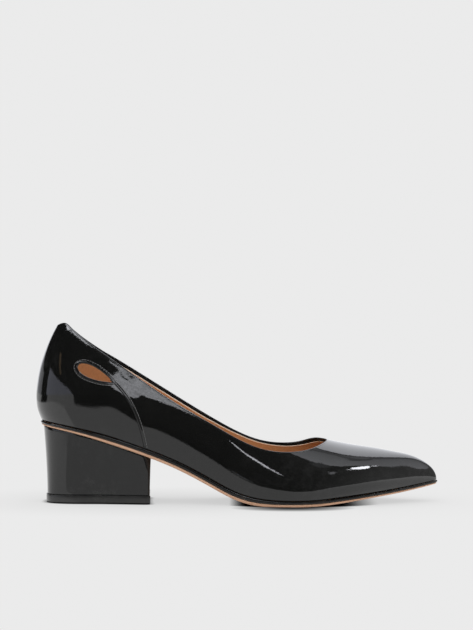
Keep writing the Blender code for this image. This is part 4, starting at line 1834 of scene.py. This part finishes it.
@dataclass(frozen=True)
class FloorGloss:
    """The floor's light in the gloss: brighter at the toe and behind the heel, dark in front and rear.

    Most pairs are places along x or y where a ramp starts and ends. behind_line is a curve of x, given from
    its constant up, past which the floor is brighter by behind_gain. The slants turn the dark places' edges.
    """

    light: Pair = (0.72, 1.25)
    toe: Pair = (0.02, 0.3)
    behind_gain: float = 0.5
    behind_line: Triple = (0.1, 1.35, 1.4)
    behind_sharpness: Pair = (12.0, 300.0)
    behind_near: Pair = (-0.32, -0.2)
    behind_far: Pair = (-0.75, -0.6)
    front: Pair = (-0.42, -0.34)
    front_slant: float = -0.65
    front_side: Pair = (-0.078, -0.045)
    rear: Pair = (-0.8, -0.6)
    rear_start: Pair = (0.0, 0.06)
    rear_slant: float = 0.42
    rear_side: Pair = (0.0, 0.1)

    def strength(self, tree: Tree, place: Sockets) -> NodeSocket:
        """Strength of the floor's light in the gloss.

        Args:
            tree: tree of the floor's material.
            place: outputs X and Y of the place on the floor.

        Returns:
            The strength.
        """
        fall = (1.0, 0.0)
        light = tree.ramp(place["X"], self.toe, self.light)
        constant, slope, bend = self.behind_line
        line = tree.math("MULTIPLY_ADD", place["X"], bend, slope)
        line = tree.math("MULTIPLY_ADD", place["X"], line, constant)
        sharp = tree.ramp(place["X"], self.behind_near, self.behind_sharpness)
        past = tree.math("SUBTRACT", place["Y"], line)
        behind = tree.math("MULTIPLY_ADD", past, sharp, 0.5, use_clamp=True)
        behind = tree.math("MULTIPLY", behind, self.behind_gain)
        behind = tree.math("MULTIPLY", behind, tree.ramp(place["X"], self.behind_far))
        inward = tree.math("MULTIPLY_ADD", place["Y"], self.front_slant, place["X"])
        ahead = tree.ramp(place["Y"], self.front, fall)
        ahead = tree.math("MULTIPLY", ahead, tree.ramp(inward, self.front_side))
        rear = tree.ramp(place["X"], self.rear, fall)
        rear = tree.math("MULTIPLY", rear, tree.ramp(place["Y"], self.rear_start))
        aside = tree.math("MULTIPLY_ADD", place["X"], self.rear_slant, place["Y"])
        rear = tree.math("MULTIPLY", rear, tree.ramp(aside, self.rear_side, fall))
        dark = tree.math("ADD", ahead, rear, use_clamp=True)
        light = tree.math("MULTIPLY_ADD", light, behind, light)
        return tree.math("MULTIPLY", light, tree.math("SUBTRACT", 1.0, dark))


@dataclass(frozen=True)
class Studio:
    """Pale floor, soft light, reflectors and the camera at the photograph's angle."""

    backdrop: float = 0.83
    dome: Pair = (0.42, 1.2)
    gloom: Pair = (0.015, 0.33)
    gloom_ends: Pair = (0.15, 1.0)
    floor_reach: float = 6.0
    floor_gloss: FloorGloss = FloorGloss()
    shadow: float = 80 * MM
    shadow_depth: float = 0.3
    contact: float = 5 * MM
    contact_ends: Pair = (0.25, 0.9)
    ball_centre: Pair = (34 * MM, -41 * MM)
    ball_reach: Pair = (38 * MM, 22 * MM)
    ball_ends: Pair = (0.03, 1.0)
    ball_light: Pair = (0.05, 1.0)
    cloud_scale: float = 700.0
    cloud_detail: float = 3.0
    cloud_ends: Pair = (0.4, 0.62)
    sun_energy: float = 1.5
    sun_angle: float = math.radians(30)
    sun_tilt: float = math.radians(26)
    camera_distance: float = 1.2
    camera_height: float = 116 * MM
    camera_clip: Pair = (0.01, 50.0)
    focal_pixels: float = 1920.0
    picture_height: float = 630.0
    sensor: float = 36.0

    def build(self, last: Last) -> None:
        """Set the stage."""
        self._world()
        self._floor()
        self._sun()
        for card in CARDS:
            self._card(card)
        self._camera(last)
        bpy.context.scene.view_settings.view_transform = "Standard"

    def _by_ray(self, tree: Tree, matt: Node, gloss: Node, eye: Node) -> NodeSocket:
        """Choose a shader by the kind of ray.

        Args:
            tree: tree that the shaders are in.
            matt: shader that matt surfaces see.
            gloss: shader that shows in the gloss.
            eye: shader that the camera sees.

        Returns:
            The chosen shader.
        """
        path = tree.add("ShaderNodeLightPath").outputs
        chosen = matt.outputs[0]
        for ray, shader in (("Is Glossy Ray", gloss), ("Is Camera Ray", eye)):
            inputs = {0: path[ray], 1: chosen, 2: shader.outputs[0]}
            chosen = tree.add("ShaderNodeMixShader", inputs).outputs[0]
        return chosen

    def _world(self) -> None:
        """Pale to the eye, soft light from the front on matt surfaces, and a dim room in the gloss."""
        world = bpy.data.worlds.new("studio")
        bpy.context.scene.world = world
        world.use_nodes = True
        tree = Tree(world.node_tree)
        world.node_tree.nodes.clear()
        way = tree.axes(tree.add("ShaderNodeTexCoord").outputs["Generated"])
        soft = tree.ramp(way["Y"], (0.0, -1.0), self.dome)
        dim = tree.ramp(way["X"], self.gloom_ends, self.gloom)
        white = (1.0, 1.0, 1.0, 1.0)
        shaders = [
            tree.add("ShaderNodeBackground", {"Color": white, "Strength": light})
            for light in (soft, dim, self.backdrop)
        ]
        tree.add("ShaderNodeOutputWorld", {"Surface": self._by_ray(tree, *shaders)})

    def _dress(self, piece: Object, name: str) -> Tree:
        """Give a piece of the stage a material with no nodes yet."""
        look = bpy.data.materials.new(name)
        look.use_nodes = True
        look.node_tree.nodes.clear()
        piece.data.materials.append(look)
        return Tree(look.node_tree)

    def _floor(self) -> None:
        """Plain pale floor with light shadows painted into its glow: darker where occluded and at the ball.
        """
        bpy.ops.object.select_all(action="DESELECT")
        bpy.ops.mesh.primitive_plane_add(size=2 * self.floor_reach, location=(0.0, 0.0, CAD_BOX[0].z))
        floor = bpy.context.active_object
        floor.name = "studio_floor"
        tree = self._dress(floor, "floor_paper")
        place = tree.axes(tree.place())
        wide, close = (
            tree.add("ShaderNodeAmbientOcclusion", {"Distance": reach}).outputs["AO"]
            for reach in (self.shadow, self.contact)
        )
        shade = tree.ramp(wide, to=(self.backdrop * (1 - self.shadow_depth), self.backdrop))
        # Painted shade: the glow is darkened by occlusion and by a fixed dark place at the ball.
        touch = tree.math("MULTIPLY", tree.ramp(close, self.contact_ends), self._ball_shade(tree, place))
        eye = tree.add("ShaderNodeEmission", {"Strength": tree.math("MULTIPLY", shade, touch)})
        matt = tree.add("ShaderNodeBsdfDiffuse", {"Color": (*[self.backdrop] * 3, 1.0)})
        gloss = tree.add("ShaderNodeEmission", {"Strength": self.floor_gloss.strength(tree, place)})
        tree.add("ShaderNodeOutputMaterial", {"Surface": self._by_ray(tree, matt, gloss, eye)})

    def _ball_shade(self, tree: Tree, place: Sockets) -> NodeSocket:
        """Painted shadow in front of the ball, where the outsole meets the floor."""
        squares = []
        for axis, centre, reach in zip("XY", self.ball_centre, self.ball_reach):
            offset = tree.math("MULTIPLY_ADD", place[axis], 1 / reach, -centre / reach)
            squares.append(tree.math("MULTIPLY", offset, offset))
        return tree.ramp(tree.math("ADD", *squares), self.ball_ends, self.ball_light)

    def _sun(self) -> None:
        """Broad soft light from above, a little from the toe's side."""
        light = bpy.data.lights.new("soft_top_light", "SUN")
        light.energy = self.sun_energy
        light.angle = self.sun_angle
        sun = bpy.data.objects.new("soft_top_light", light)
        sun.rotation_euler = (0.0, self.sun_tilt, 0.0)
        sun.visible_glossy = False
        sun.visible_camera = False
        bpy.context.scene.collection.objects.link(sun)

    def _card(self, card: Card) -> None:
        """Reflector card."""
        bpy.ops.object.select_all(action="DESELECT")
        bpy.ops.mesh.primitive_circle_add(vertices=len(card.corners), radius=1.0, fill_type="NGON")
        face = bpy.context.active_object
        face.name = card.name
        for vertex, corner in zip(face.data.vertices, card.corners):
            azimuth, elevation = (math.radians(angle) for angle in corner)
            flat = math.cos(elevation)
            way = Vector((flat * math.sin(azimuth), -flat * math.cos(azimuth), math.sin(elevation)))
            vertex.co = Vector(card.centre) + way * card.distance
        places = [vertex.co["XYZ".index(card.axis)] for vertex in face.data.vertices]
        tree = self._dress(face, card.name)
        place = tree.place()
        light = tree.ramp(tree.axes(place)[card.axis], (min(places), max(places)), card.light)
        if card.mottle:
            inputs = {"Vector": place, "Scale": self.cloud_scale, "Detail": self.cloud_detail}
            cloud = tree.add("ShaderNodeTexNoise", inputs).outputs[0]
            light = tree.math("MULTIPLY", light, tree.ramp(cloud, self.cloud_ends, (1.0, 1.0 - card.mottle)))
        glow = tree.add("ShaderNodeEmission", {"Color": (*card.colour, 1.0), "Strength": light})
        tree.add("ShaderNodeOutputMaterial", {"Surface": glow.outputs[0]})
        face.visible_camera = False
        face.visible_diffuse = False
        face.visible_shadow = False

    def _camera(self, last: Last) -> None:
        """Level camera in front of the outer side."""
        camera = bpy.data.cameras.new("camera")
        camera.sensor_width = self.sensor
        camera.lens = self.sensor * self.focal_pixels / self.picture_height
        camera.clip_start, camera.clip_end = self.camera_clip
        stand = bpy.data.objects.new("camera", camera)
        stand.location = (0.0, last.centre_shift - self.camera_distance, self.camera_height)
        stand.rotation_euler = (math.pi / 2, 0.0, 0.0)
        bpy.context.scene.collection.objects.link(stand)
        bpy.context.scene.camera = stand


def main() -> None:
    """Build the shoe's pieces and the studio."""
    logging.basicConfig(level=logging.INFO, format="%(name)s %(message)s")
    last, effects = Last(), Effects()
    Upper(last, Teardrop()).build(effects)
    Bottom(last).build(effects)
    Heel(last).build(effects)
    Studio().build(last)


if __name__ == "__main__":
    main()
